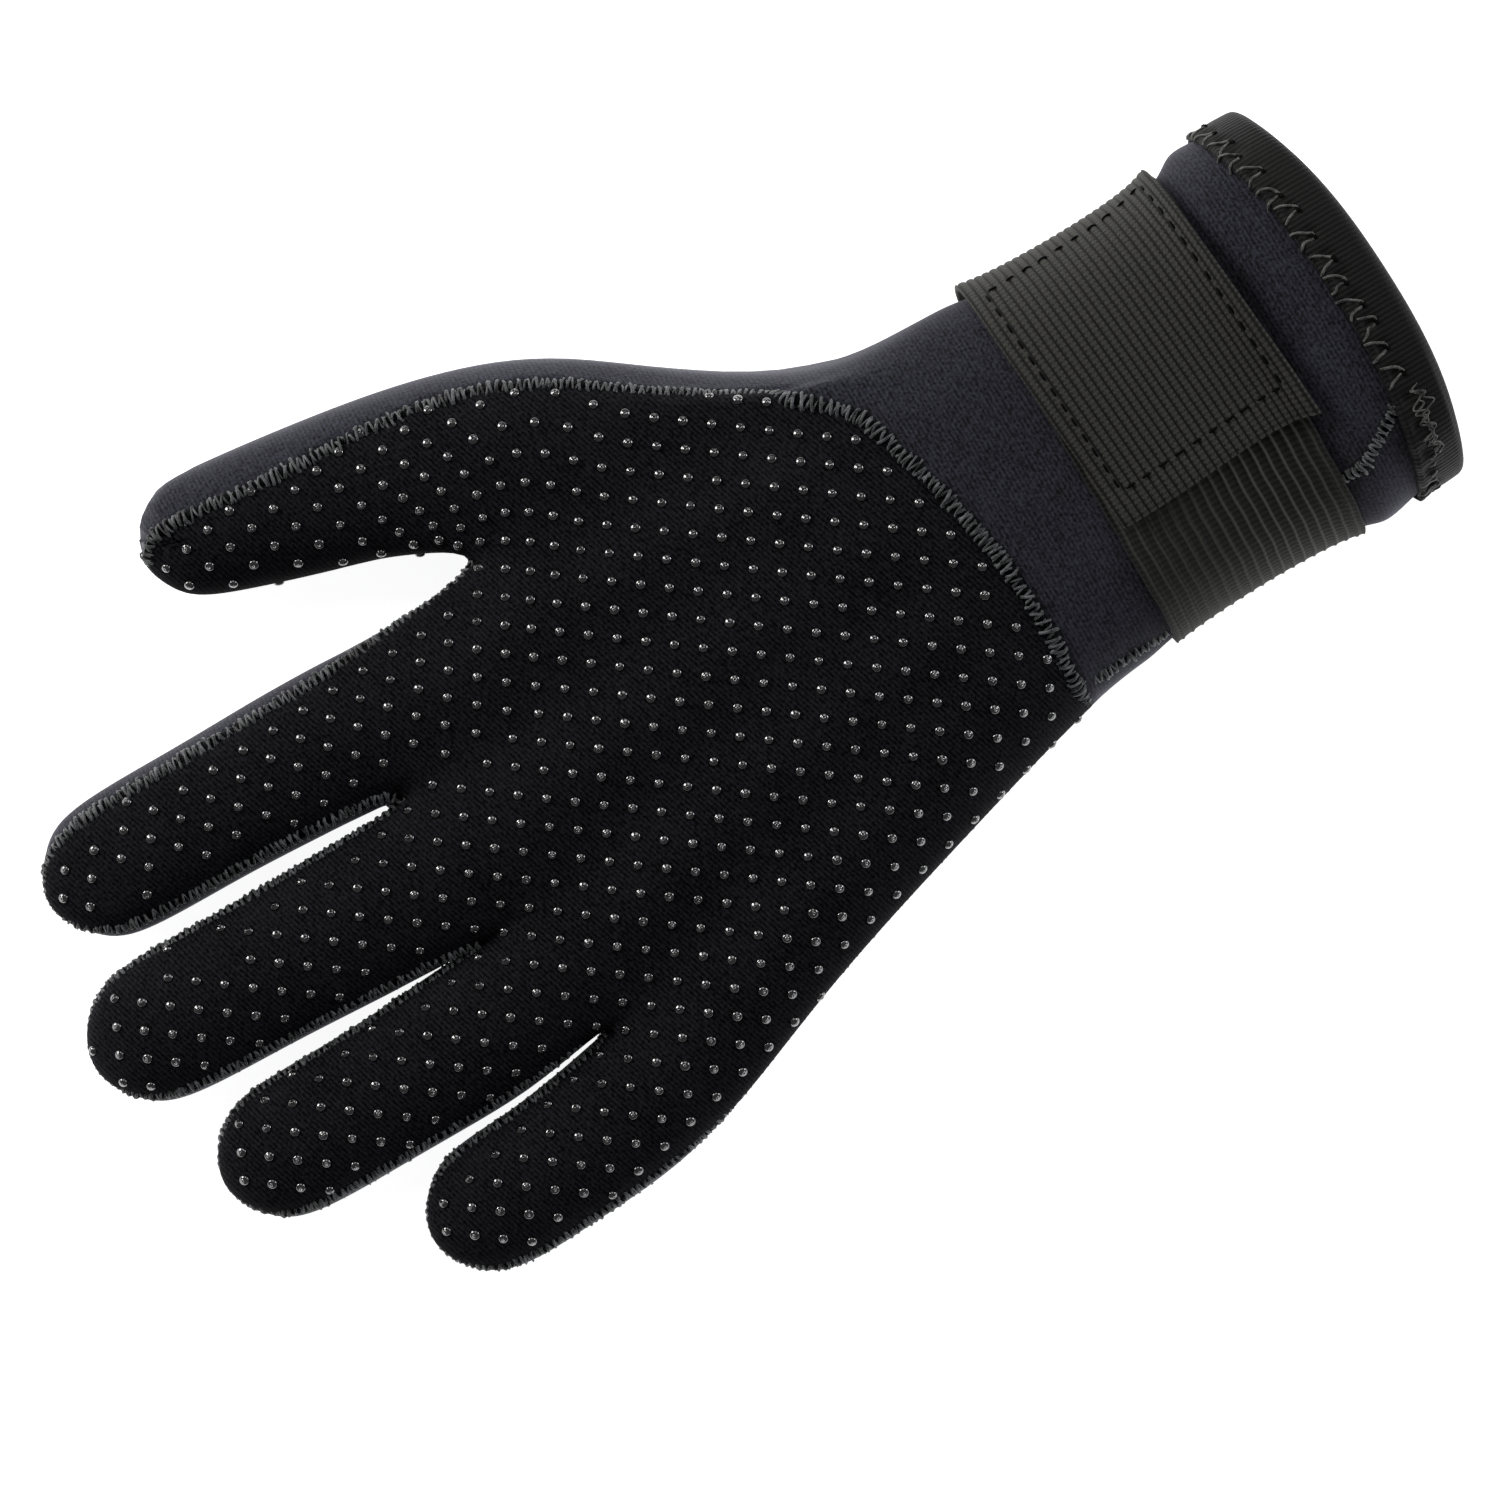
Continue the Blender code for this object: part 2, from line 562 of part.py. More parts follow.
def build():
    for thing in list(bpy.data.objects):
        bpy.data.objects.remove(thing)
    collection = bpy.data.collections.new("diving_glove")
    bpy.context.scene.collection.children.link(collection)
    cutters = bpy.data.collections.new("cutters")
    bpy.context.scene.collection.children.link(cutters)
    origin = bpy.data.objects.new("glove_origin", None)
    collection.objects.link(origin)

    surface = glove_surface()
    wall = evaluated("glove_wall", surface.copy(), lambda thing: wall_modifier(thing, WALL, False))

    palm = material("palm_knit", (0.004, 0.004, 0.005), 0.85)
    back = material("back_knit", (0.012, 0.012, 0.019), 0.80)
    webbing = material("strap_webbing", (0.016, 0.017, 0.014), 0.75)
    tape = material("binding_knit", (0.006, 0.006, 0.006), 0.80)

    binding = lifted(keep_faces(wall, lambda f: f.material_index == CUFF), LAY_GAP)
    strap = lifted(keep_faces(surface, lambda f: f.material_index == SLEEVE), LAY_GAP)
    tab = lifted(keep_faces(surface, lambda f: f.material_index == SLEEVE), STRAP_STACK + LAY_GAP)
    pieces = [
        add_piece("palm_panel", panel(wall, (PALM,)), palm, origin, collection),
        add_piece("back_panel", panel(wall, (BACK, CUFF, SLEEVE)), back, origin, collection),
        add_piece("cuff_binding", binding, tape, origin, collection),
        add_piece("wrist_strap", strap, webbing, origin, collection),
        add_piece("strap_tab", tab, webbing, origin, collection),
    ]
    for piece, thickness in zip(pieces[2:], (BINDING_THICKNESS, STRAP_THICKNESS, TAB_THICKNESS)):
        wall_modifier(piece, thickness, True)
    for piece, add_cutter in zip(pieces[3:], (strap_cutter, tab_cutter)):
        trim = piece.modifiers.new("trim", "BOOLEAN")
        trim.operation = "INTERSECT"
        trim.object = add_cutter(origin, cutters)
    centre_on_floor(origin, pieces)


build()
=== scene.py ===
from functools import partial
from math import cos, pi, radians, sin

import bmesh
import bpy
import numpy as np
from mathutils import Matrix, Vector
from mathutils.bvhtree import BVHTree
from mathutils.geometry import barycentric_transform


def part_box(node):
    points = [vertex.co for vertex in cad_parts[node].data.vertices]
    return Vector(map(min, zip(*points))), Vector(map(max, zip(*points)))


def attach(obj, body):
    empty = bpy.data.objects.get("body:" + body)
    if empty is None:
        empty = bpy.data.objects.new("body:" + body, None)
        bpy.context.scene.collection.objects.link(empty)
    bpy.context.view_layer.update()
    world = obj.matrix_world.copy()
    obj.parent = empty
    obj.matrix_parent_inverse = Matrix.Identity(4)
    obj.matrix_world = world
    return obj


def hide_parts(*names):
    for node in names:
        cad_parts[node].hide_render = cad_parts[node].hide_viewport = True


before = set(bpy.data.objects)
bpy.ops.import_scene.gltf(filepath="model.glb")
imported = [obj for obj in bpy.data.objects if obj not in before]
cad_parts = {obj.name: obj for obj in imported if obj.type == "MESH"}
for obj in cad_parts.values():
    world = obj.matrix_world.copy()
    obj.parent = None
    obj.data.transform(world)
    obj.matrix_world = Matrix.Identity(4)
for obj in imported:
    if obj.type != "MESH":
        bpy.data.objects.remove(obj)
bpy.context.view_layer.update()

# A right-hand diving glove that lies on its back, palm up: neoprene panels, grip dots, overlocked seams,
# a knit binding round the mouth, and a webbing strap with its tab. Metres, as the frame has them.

mm = 0.001
rng = np.random.default_rng(7)


# Small tools

# sRGB hex to linear: each channel c becomes ((c + 0.055) / 1.055) ^ 2.4, or c / 12.92 near black
def colour(code):
    srgb = np.array([int(code[i:i + 2], 16) for i in (1, 3, 5)]) / 255
    linear = np.where(srgb <= 0.04045, srgb / 12.92, ((srgb + 0.055) / 1.055) ** 2.4)
    return (*linear.tolist(), 1.0)


# smooth step: 0 before low, 1 after high, 3t^2 - 2t^3 between
def ease(value, low, high):
    t = np.clip((value - low) / (high - low), 0, 1)
    return t * t * (3 - 2 * t)


def unit(vectors):
    return vectors / np.maximum(np.linalg.norm(vectors, axis=-1, keepdims=True), 1e-12)


def anglesRound(count):
    return 2 * pi * np.arange(count) / count


# the way run to each point of a line; a closed line runs on to its first point again
def runAlong(line, closed=False):
    full = np.concatenate([line, line[:1]]) if closed else line
    return np.concatenate([[0], np.cumsum(np.linalg.norm(np.diff(full, axis=0), axis=1))])


# directions of lines of points along an axis
def directions(points, axis, closed):
    if closed:
        return unit(np.roll(points, -1, axis=axis) - np.roll(points, 1, axis=axis))
    return unit(np.gradient(points, axis=axis))


# indices of the quads between neighbouring points of a grid; a closed way runs back to its first point
def gridFaces(rows, columns, closedRows=False, closedColumns=False):
    i, j = np.meshgrid(np.arange(rows - (not closedRows)), np.arange(columns - (not closedColumns)),
                       indexing="ij")
    ni, nj = (i + 1) % rows, (j + 1) % columns
    quads = np.stack([i * columns + j, ni * columns + j, ni * columns + nj, i * columns + nj], axis=-1)
    return quads.reshape(-1, 4)


# the same faces for each of a number of equal blocks of points
def repeated(faces, count, block):
    return (faces[None] + (np.arange(count) * block)[:, None, None]).reshape(-1, faces.shape[-1])


# corners of a grid's quads as (u, v); a closed way needs one more value of u or v than it has points
def gridCorners(u, v):
    i, j = np.meshgrid(np.arange(len(u) - 1), np.arange(len(v) - 1), indexing="ij")
    pairs = [np.stack([u[a], v[b]], axis=-1) for a, b in ((i, j), (i + 1, j), (i + 1, j + 1), (i, j + 1))]
    return np.stack(pairs, axis=-2).reshape(-1, 2)


# a mesh object from points and groups of faces; corners are the uv pairs of all face corners in order
def newPiece(name, points, faceGroups, corners=None):
    mesh = bpy.data.meshes.new(name)
    faces = [face for group in faceGroups for face in group.tolist()]
    mesh.from_pydata(points.reshape(-1, 3).tolist(), [], faces)
    if corners is not None:
        layer = mesh.uv_layers.new(name="along")
        layer.data.foreach_set("uv", corners.astype(np.float32).ravel())
    mesh.shade_smooth()
    mesh.validate()
    piece = bpy.data.objects.new(name, mesh)
    bpy.context.scene.collection.objects.link(piece)
    return piece


def finishPiece(piece, material, slot, *nodes):
    piece.data.materials.clear()
    piece.data.materials.append(material)
    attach(piece, "root")
    if nodes:
        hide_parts(*nodes)
    print("made", piece.name, len(piece.data.polygons), "faces")


# a mesh's points and their normals as arrays
def meshArrays(mesh):
    points = np.empty(len(mesh.vertices) * 3)
    mesh.vertices.foreach_get("co", points)
    normals = np.empty(len(mesh.vertices) * 3)
    mesh.vertices.foreach_get("normal", normals)
    return points.reshape(-1, 3), normals.reshape(-1, 3)


# the points of a closed or open strand smoothed some times over: (before + 2 * here + after) / 4
def smoothed(values, times, closed):
    for _ in range(times):
        if closed:
            values = (np.roll(values, 1, axis=0) + 2 * values + np.roll(values, -1, axis=0)) / 4
        else:
            inner = (values[:-2] + 2 * values[1:-1] + values[2:]) / 4
            values = np.concatenate([values[:1], inner, values[-1:]])
    return values


# a line cut anew into equal steps; values are carried along, and a closed line ends one step short
def resampled(line, values, step, closed):
    full = np.concatenate([line, line[:1]]) if closed else line
    extra = np.concatenate([values, values[:1]]) if closed else values
    run = runAlong(full)
    count = max(4, round(run[-1] / step))
    places = np.linspace(0, run[-1], count + 1)[:-1] if closed else np.linspace(0, run[-1], count)
    return [np.stack([np.interp(places, run, a[:, k]) for k in range(a.shape[1])], axis=1)
            for a in (full, extra)]


# tubes along strands (strand, point, 3): centre + radius * (cos a * side + sin a * up), where up is the
# reference made square to the strand's direction, and side is square to both; open ends are capped
def tubes(strands, reference, radius, sides, closed=False):
    along = directions(strands, 1, closed)
    side = unit(np.cross(along, reference))
    up = np.cross(side, along)
    angles = anglesRound(sides)
    radius = np.broadcast_to(radius, strands.shape[:2])[..., None, None]
    ring = np.cos(angles)[:, None] * side[..., None, :] + np.sin(angles)[:, None] * up[..., None, :]
    points = strands[..., None, :] + radius * ring
    count, length = strands.shape[:2]
    quads = repeated(gridFaces(length, sides, closed, True), count, length * sides)
    if closed:
        return points, [quads]
    caps = np.stack([np.arange(sides)[::-1], (length - 1) * sides + np.arange(sides)])
    return points, [quads, repeated(caps, count, length * sides)]


# round threads along strands, as one piece
def threadPiece(name, strands, reference, radius, sides, material, slot, closed=False):
    points, faces = tubes(strands, reference, radius, sides, closed)
    finishPiece(newPiece(name, points, faces), material, slot)


# where rays first meet a tree, and the faces' normals there
def castAll(tree, starts, heads):
    hits = [tree.ray_cast(Vector(a), Vector(b))[:2] for a, b in zip(starts.reshape(-1, 3), heads.reshape(-1, 3))]
    found = np.array([(*place, *normal) for place, normal in hits]).reshape(*starts.shape[:-1], 6)
    return found[..., :3], found[..., 3:]


# the places on a tree's surface that are nearest to points, and the faces' normals there
def nearestAll(tree, points):
    hits = [tree.find_nearest(Vector(p))[:2] for p in points]
    found = np.array([(*place, *normal) for place, normal in hits])
    return found[:, :3], found[:, 3:]


# Materials

# adds a node with its settings, its inputs as values or as other nodes' outputs, a ramp's stops as (place, hex) and
# the socket that its first output goes into; gives back its outputs
def addNode(tree, kind, inputs=None, stops=(), into=None, **settings):
    node = tree.nodes.new("ShaderNode" + kind)
    for name, value in settings.items():
        setattr(node, name, value)
    for socket, value in (inputs or {}).items():
        if isinstance(value, bpy.types.NodeSocket):
            tree.links.new(value, node.inputs[socket])
        else:
            node.inputs[socket].default_value = value
    for k, (place, code) in enumerate(stops):
        spot = node.color_ramp.elements[k] if k < 2 else node.color_ramp.elements.new(place)
        spot.position, spot.color = place, colour(code)
    if into:
        tree.links.new(node.outputs[0], into)
    return node.outputs


# a material, the function that adds its nodes, and its shader's sockets
def newMaterial(name, roughness, sheen=0.0, sheenTint="#ffffff", sheenRoughness=0.5, specular=0.5):
    material = bpy.data.materials.new(name)
    material.use_nodes = True
    sockets = material.node_tree.nodes["Principled BSDF"].inputs
    for socket, value in (("Roughness", roughness), ("Sheen Weight", sheen), ("Sheen Roughness", sheenRoughness),
                          ("Sheen Tint", colour(sheenTint)), ("Specular IOR Level", specular)):
        sockets[socket].default_value = value
    return material, partial(addNode, material.node_tree), sockets


# a wave texture's scale for ribs this far apart: its own period is pi / 10 at scale 1
def waveScale(pitch):
    return pi / 10 / pitch


patterns = {
    "stitch": 0.6 * mm,         # the jersey's loops, drawn coarser than the real 0.3 mm so that they show
    "patch": 14 * mm,           # slow change of shade where the cloth was handled
    "fibre": 0.5 * mm,          # of the webbing, drawn coarser than its real yarn
    "tapeRib": 0.9 * mm,
    "tapeLoop": 0.4 * mm,
    "haze": 3 * mm,             # of handling, on the rubber
    "ply": 0.25 * mm,
    "dust": 1.7 * mm,           # on the sewing thread
    "paper": 60.0,              # scale of the floor's grain
}


# Nylon jersey laminated to neoprene foam: matt and near black, with a faint fuzz that catches light at the
# edges and fine ribs of the knit
def jerseyMaterial(name, dark, light, ribPitch, ribTurn, ribShare, sheen, sheenTint, specular):
    material, add, sockets = newMaterial(name, 0.86, sheen, sheenTint, 0.42, specular)
    place = add("TexCoord")["Object"]
    turned = add("Mapping", {"Vector": place, "Rotation": (0, 0, -ribTurn)})["Vector"]
    ribs = add("TexWave", {"Vector": turned, "Scale": waveScale(ribPitch), "Distortion": 0.35, "Detail": 2.0,
                           "Detail Scale": 1.6}, bands_direction="Y")["Fac"]
    loops = add("TexNoise", {"Vector": place, "Scale": 1 / patterns["stitch"], "Detail": 1.0,
                             "Roughness": 0.6})["Fac"]
    patches = add("TexNoise", {"Vector": place, "Scale": 1 / patterns["patch"], "Detail": 2.0})["Fac"]
    knit = add("Mix", {0: ribShare, 2: loops, 3: ribs})[0]
    shade = add("Mix", {0: 0.15, 2: knit, 3: patches})[0]
    add("ValToRGB", {"Fac": shade}, [(0.34, dark), (0.7, light)], sockets["Base Color"])
    add("MapRange", {"Value": loops, "To Min": 0.78, "To Max": 0.95}, into=sockets["Roughness"])
    add("Bump", {"Height": knit, "Distance": 0.12 * mm, "Strength": 0.8}, into=sockets["Normal"])
    return material


# Webbing of textured polyester: raised cords with a painted highlight of cord colour, a mottled weave between them,
# and grooves painted near black as painted shade; the uv map runs along the webbing and across it in metres
def webbingMaterial(name, dark, light, cord, ribPitch, tick, cordShare, fibreShare, grooveShade):
    material, add, sockets = newMaterial(name, 0.72, 0.08, "#cfd0c4", 0.5, 0.3)
    uv = add("UVMap", uv_map="along")["UV"]
    cords = add("TexWave", {"Vector": uv, "Scale": waveScale(ribPitch), "Distortion": 0.25, "Detail": 1.0,
                            "Detail Scale": 2.0}, bands_direction="Y", wave_profile="SIN")["Fac"]
    ticks = add("TexWave", {"Vector": uv, "Scale": waveScale(tick), "Distortion": 0.5, "Detail": 1.0,
                            "Detail Scale": 3.0}, bands_direction="X")["Fac"]
    fibre = add("TexNoise", {"Vector": uv, "Scale": 1 / patterns["fibre"], "Detail": 3.0})["Fac"]
    weave = add("Mix", {0: fibreShare, 2: ticks, 3: fibre})[0]
    ground = add("ValToRGB", {"Fac": weave}, [(0.3, dark), (0.72, light)])["Color"]
    # painted highlight: the cord colour laid over the crests of the cords
    crest = add("MapRange", {"Value": cords, "From Min": 1 - cordShare, "From Max": 1.0, "To Max": 0.85})["Result"]
    mixed = add("Mix", {0: crest, 6: ground, 7: colour(cord)}, data_type="RGBA")[2]
    # painted shade: the grooves between the cords darkened towards near black, as far as grooveShade says
    paintedGrooveShade = add("MapRange", {"Value": cords, "From Min": 0.02, "From Max": 0.42, "To Min": grooveShade,
                              "To Max": 1.0})["Result"]
    shaded = add("Mix", {0: paintedGrooveShade, 6: colour("#010101"), 7: mixed}, data_type="RGBA")[2]
    material.node_tree.links.new(shaded, sockets["Base Color"])
    relief = add("Mix", {0: 0.4, 2: weave, 3: cords})[0]
    add("Bump", {"Height": relief, "Distance": 0.16 * mm, "Strength": 0.8}, into=sockets["Normal"])
    return material


# Knitted edge tape: black, slightly shiny filament with fine ribs square to the edge
def tapeMaterial(name):
    material, add, sockets = newMaterial(name, 0.62, 0.05, "#d8d8dc", 0.4, 0.18)
    uv = add("UVMap", uv_map="along")["UV"]
    ribs = add("TexWave", {"Vector": uv, "Scale": waveScale(patterns["tapeRib"]), "Distortion": 0.6, "Detail": 2.0,
                           "Detail Scale": 2.0}, bands_direction="X")["Fac"]
    loops = add("TexNoise", {"Vector": uv, "Scale": 1 / patterns["tapeLoop"], "Detail": 2.0})["Fac"]
    knit = add("Mix", {0: 0.5, 2: ribs, 3: loops})[0]
    add("ValToRGB", {"Fac": knit}, [(0.25, "#030303"), (0.85, "#1c1c1b")], sockets["Base Color"])
    add("Bump", {"Height": knit, "Distance": 0.15 * mm, "Strength": 0.9}, into=sockets["Normal"])
    return material


# Printed rubber grip: smooth, glossy and black, with a faint haze of handling
def rubberMaterial(name):
    material, add, sockets = newMaterial(name, 0.12)
    for socket, value in (("IOR", 1.8), ("Coat IOR", 1.7), ("Coat Weight", 1.0), ("Coat Roughness", 0.1)):
        sockets[socket].default_value = value
    place = add("TexCoord")["Object"]
    haze = add("TexNoise", {"Vector": place, "Scale": 1 / patterns["haze"], "Detail": 3.0})["Fac"]
    add("ValToRGB", {"Fac": haze}, [(0.3, "#020202"), (0.8, "#08080a")], sockets["Base Color"])
    add("MapRange", {"Value": haze, "To Min": 0.08, "To Max": 0.2}, into=sockets["Roughness"])
    add("Bump", {"Height": haze, "Distance": 0.01 * mm, "Strength": 0.3}, into=sockets["Normal"])
    return material


# Spun polyester sewing thread: soft sheen, plies twisted round it, some turns dustier than others
def threadMaterial(name, dark, light, sheen=0.35, specular=0.4):
    material, add, sockets = newMaterial(name, 0.55, sheen, "#e6e8ea", 0.45, specular)
    place = add("TexCoord")["Object"]
    ply = add("TexNoise", {"Vector": place, "Scale": 1 / patterns["ply"], "Detail": 2.0})["Fac"]
    dust = add("TexNoise", {"Vector": place, "Scale": 1 / patterns["dust"], "Detail": 2.0})["Fac"]
    shade = add("Mix", {0: 0.6, 2: ply, 3: dust})[0]
    add("ValToRGB", {"Fac": shade}, [(0.38, dark), (0.66, light)], sockets["Base Color"])
    add("Bump", {"Height": ply, "Distance": 0.08 * mm, "Strength": 0.8}, into=sockets["Normal"])
    return material


palmJersey = jerseyMaterial("nylon jersey, black", "#010101", "#232328", 0.8 * mm, radians(17), 0.22, 0.0,
                            "#9a9aa8", 0.06)
backJersey = jerseyMaterial("nylon jersey, blue-grey", "#09090d", "#393944", 0.8 * mm, 0.0, 0.15, 0.5,
                            "#b8b8c2", 0.15)
strapWebbing = webbingMaterial("elastic webbing, black", "#070706", "#1f1f1c", "#43433f", 2.28 * mm, 1.1 * mm,
                               0.22, 0.4, 0.8)
tabWebbing = webbingMaterial("polyester webbing, grey", "#050504", "#403f3b", "#31312e", 1.595 * mm, 0.92 * mm,
                            0.3, 0.7, 0.04)
edgeTape = tapeMaterial("knitted edge tape")
gripRubber = rubberMaterial("printed rubber")
seamThread = threadMaterial("spun polyester thread, black", "#030303", "#6c6e70")
# near black, almost without sheen: the box stitch's black thread, darkened as painted shade of its holes; also
# painted shade in the seams' ridges and at the binding hooks' holes
blackThreadAndShade = threadMaterial("spun polyester thread, black, and painted shade", "#010101", "#050505", 0.02, 0.05)
lightThread = threadMaterial("spun polyester thread, grey", "#040404", "#6c6c68")
print("materials ready")


# Panels: the neoprene as the frame has it, its facets worked round

panel = {
    "levels": 2,                # how often the facets are divided
    "rimAngle": 50,             # degrees; the cut edges of the neoprene are sharper than this
    "rounds": 3,                # times that the smooth surface is drawn out to the frame's own points
}


# outer faces: those joined to the highest face without crossing a sharp edge
def markOuter(work, limit):
    crease = work.edges.layers.float.new("crease_edge")
    sharp = {e for e in work.edges if len(e.link_faces) == 2 and e.calc_face_angle() > limit}
    top = max(work.faces, key=lambda f: f.calc_center_median().z)
    found, queue = {top}, [top]
    while queue:
        for edge in queue.pop().edges:
            if edge not in sharp:
                fresh = [f for f in edge.link_faces if f not in found]
                found.update(fresh)
                queue.extend(fresh)
    for edge in sharp:
        edge[crease] = 1.0
    for face in work.faces:
        face.material_index = int(face in found)


def evaluatedCopy(mesh, levels):
    helper = bpy.data.objects.new("helper", mesh)
    bpy.context.scene.collection.objects.link(helper)
    divide = helper.modifiers.new("divide", "SUBSURF")
    divide.levels = divide.render_levels = levels
    made = bpy.data.meshes.new_from_object(helper.evaluated_get(bpy.context.evaluated_depsgraph_get()))
    bpy.data.objects.remove(helper)
    return made


# the node's facets as quads, divided and rounded; its control points are moved out by what rounding takes
# back, control = control + (node's point - rounded point), so the skin runs through the node's own points
def panelSkin(nodeName, name):
    work = bmesh.new()
    work.from_mesh(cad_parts[nodeName].data)
    bmesh.ops.remove_doubles(work, verts=work.verts, dist=0.001 * mm)
    bmesh.ops.join_triangles(work, faces=work.faces, angle_face_threshold=radians(40),
                             angle_shape_threshold=radians(60))
    markOuter(work, radians(panel["rimAngle"]))
    coarse = bpy.data.meshes.new(name)
    work.to_mesh(coarse)
    work.free()
    target = meshArrays(coarse)[0]
    control = target.copy()
    for _ in range(panel["rounds"]):
        limit = meshArrays(evaluatedCopy(coarse, 1))[0][:len(target)]
        control += target - limit
        coarse.vertices.foreach_set("co", control.ravel())
        coarse.update()
    fine = evaluatedCopy(coarse, panel["levels"])
    points = meshArrays(fine)[0]
    points[:, 2] = np.maximum(points[:, 2], 0)
    fine.vertices.foreach_set("co", points.ravel())
    fine.update()
    fine.name = name
    fine.shade_smooth()
    skin = bpy.data.objects.new(name, fine)
    bpy.context.scene.collection.objects.link(skin)
    return skin


# the outer faces' corners (quads) and the ordered points of their rim
def outerSkin(skin):
    mesh = skin.data
    outer = [p for p in mesh.polygons if p.material_index == 1]
    quads = np.array([tuple(p.vertices) for p in outer if len(p.vertices) == 4])
    mesh.polygons.foreach_set("material_index", np.zeros(len(mesh.polygons), dtype=np.int32))
    edges = np.sort(np.concatenate([quads[:, [k, (k + 1) % 4]] for k in range(4)]), axis=1)
    pairs, counts = np.unique(edges, axis=0, return_counts=True)
    return quads, longestLoop(pairs[counts == 1])


# the longest closed loop of point numbers among edges joined end to end
def longestLoop(edges):
    beside = {}
    for a, b in edges.tolist():
        beside.setdefault(a, []).append(b)
        beside.setdefault(b, []).append(a)
    loops = []
    while beside:
        start = next(iter(beside))
        loop, here = [start], start
        while True:
            ways = [n for n in beside.pop(here, []) if n in beside]
            if not ways:
                break
            here = ways[0]
            loop.append(here)
        loops.append(loop)
    return np.array(max(loops, key=len))


palmSkin = panelSkin("palm_panel", "palmSkin")
backSkin = panelSkin("back_panel", "backSkin")
palmQuads, rim = outerSkin(palmSkin)
backQuads = outerSkin(backSkin)[0]


# The seam between the panels, worked in from the thumb's and index finger's outer sides as the photo shows it;
# the form of the two panels together stays

seamShift = {
    "outward": (0.95, -0.31),   # the thumb's outer side, in plan
    "thumbStart": 2.6 * mm,
    "thumbEnd": 7.6 * mm,
    "thumbTip": 4.5 * mm,
    "index": 2.8 * mm,
    "reach": 17 * mm,           # how far from the seam the cloth is drawn along
    "from": (5 * mm, -50 * mm),         # x and y past which points can move
    # where the shifts set in and are whole, as low and high ends along x or y
    "thumbX": (38 * mm, 44 * mm),
    "thumbRootY": (-45 * mm, -25 * mm),
    "thumbGrowY": (-10 * mm, 60 * mm),
    "thumbTipY": (40 * mm, 70 * mm),
    "indexX": (8 * mm, 14 * mm),
    "indexY": (40 * mm, 60 * mm),
}


# how far each point of the rim moves in plan: inward, by the side of the finger that it is on
def rimShifts(line):
    along = unit(np.roll(line, -3, axis=0) - np.roll(line, 3, axis=0))[:, :2]
    outward = np.stack([along[:, 1], -along[:, 0]], axis=1)
    x, y = line[:, 0], line[:, 1]
    turned = (x * np.roll(y, -1) - np.roll(x, -1) * y).sum()
    outward = unit(outward) * np.sign(turned)
    side = np.array(seamShift["outward"])
    tip = np.array([-side[1], side[0]])
    facing, tipFacing = np.clip(outward @ side, 0, 1) ** 0.5, np.clip(outward @ tip, 0, 1)
    start, end = seamShift["thumbStart"], seamShift["thumbEnd"]
    pastGap = ease(x, *seamShift["thumbX"])
    onThumb = pastGap * ease(y, *seamShift["thumbRootY"])
    onIndex = ease(y, *seamShift["indexY"]) * (1 - pastGap) * ease(x, *seamShift["indexX"])
    thumbSide = start + (end - start) * ease(y, *seamShift["thumbGrowY"])
    thumbTip = seamShift["thumbTip"] * tipFacing * ease(y, *seamShift["thumbTipY"])
    amount = onThumb * np.maximum(thumbSide * facing, thumbTip) + onIndex * seamShift["index"] * facing
    return smoothed(-outward * amount[:, None], 25, True)


# each point's foot on the outer surface moves with the nearest rim point, less so further off, and is put back on
# the surface; the point's depth under it is laid off again
def moveSeam():
    skins = (palmSkin, backSkin)
    arrays = [meshArrays(skin.data)[0] for skin in skins]
    outerPoints = np.concatenate(arrays)
    outerFaces = np.concatenate([palmQuads, backQuads + len(arrays[0])])
    surface = BVHTree.FromPolygons(outerPoints.tolist(), outerFaces.tolist())
    line = arrays[0][rim]
    shifts = rimShifts(line)
    for skin, points in zip(skins, arrays):
        near = np.flatnonzero((points[:, 0] > seamShift["from"][0]) & (points[:, 1] > seamShift["from"][1]))
        foot, facing = nearestAll(surface, points[near])
        depth = ((foot - points[near]) * facing).sum(axis=1)
        gaps = np.stack([np.linalg.norm(foot - spot, axis=1) for spot in line[::2]], axis=1)
        nearest, far = gaps.argmin(axis=1) * 2, gaps.min(axis=1)
        move = shifts[nearest] * (1 - ease(far, 0, seamShift["reach"]))[:, None]
        moving = np.linalg.norm(move, axis=1) > 0.02 * mm
        aims = foot[moving] + np.column_stack([move[moving], np.zeros(moving.sum())])
        landed, facing = nearestAll(surface, aims)
        points[near[moving]] = landed - facing * depth[moving][:, None]
        points[:, 2] = np.maximum(points[:, 2], 0)
        skin.data.vertices.foreach_set("co", points.ravel())
        skin.data.update()


moveSeam()
backTree = BVHTree.FromObject(backSkin, bpy.context.evaluated_depsgraph_get())


# Camera, floor and light

studio = {
    "viewCentre": (-18.98 * mm, 4.51 * mm),     # what the picture's middle looks at
    "viewUp": (0.857, -0.515),                  # the picture's up, in plan
    "viewWidth": 277.5 * mm,
    "eye": 1.2,                                 # height of the camera over the palm
    "palm": 20 * mm,
    "sensor": 36.0,
    # heading in the picture and tilt from straight above in degrees, distance and size in metres, power in watts
    "softboxes": {
        "softboxLeft": (153, 68, 1.1, 0.5, 8.5, "#fffdfa"),
        "softboxRight": (20, 68, 1.1, 0.5, 4.5, "#fafcff"),
        "softboxTop": (90, 40, 1.3, 0.7, 3, "#ffffff"),
    },
    "skyStrength": 0.16,
    "floorSide": 6.0,
    "floorDrop": 0.05 * mm,     # under the glove, whose underside is flat
    "floorGlow": 0.9,
}


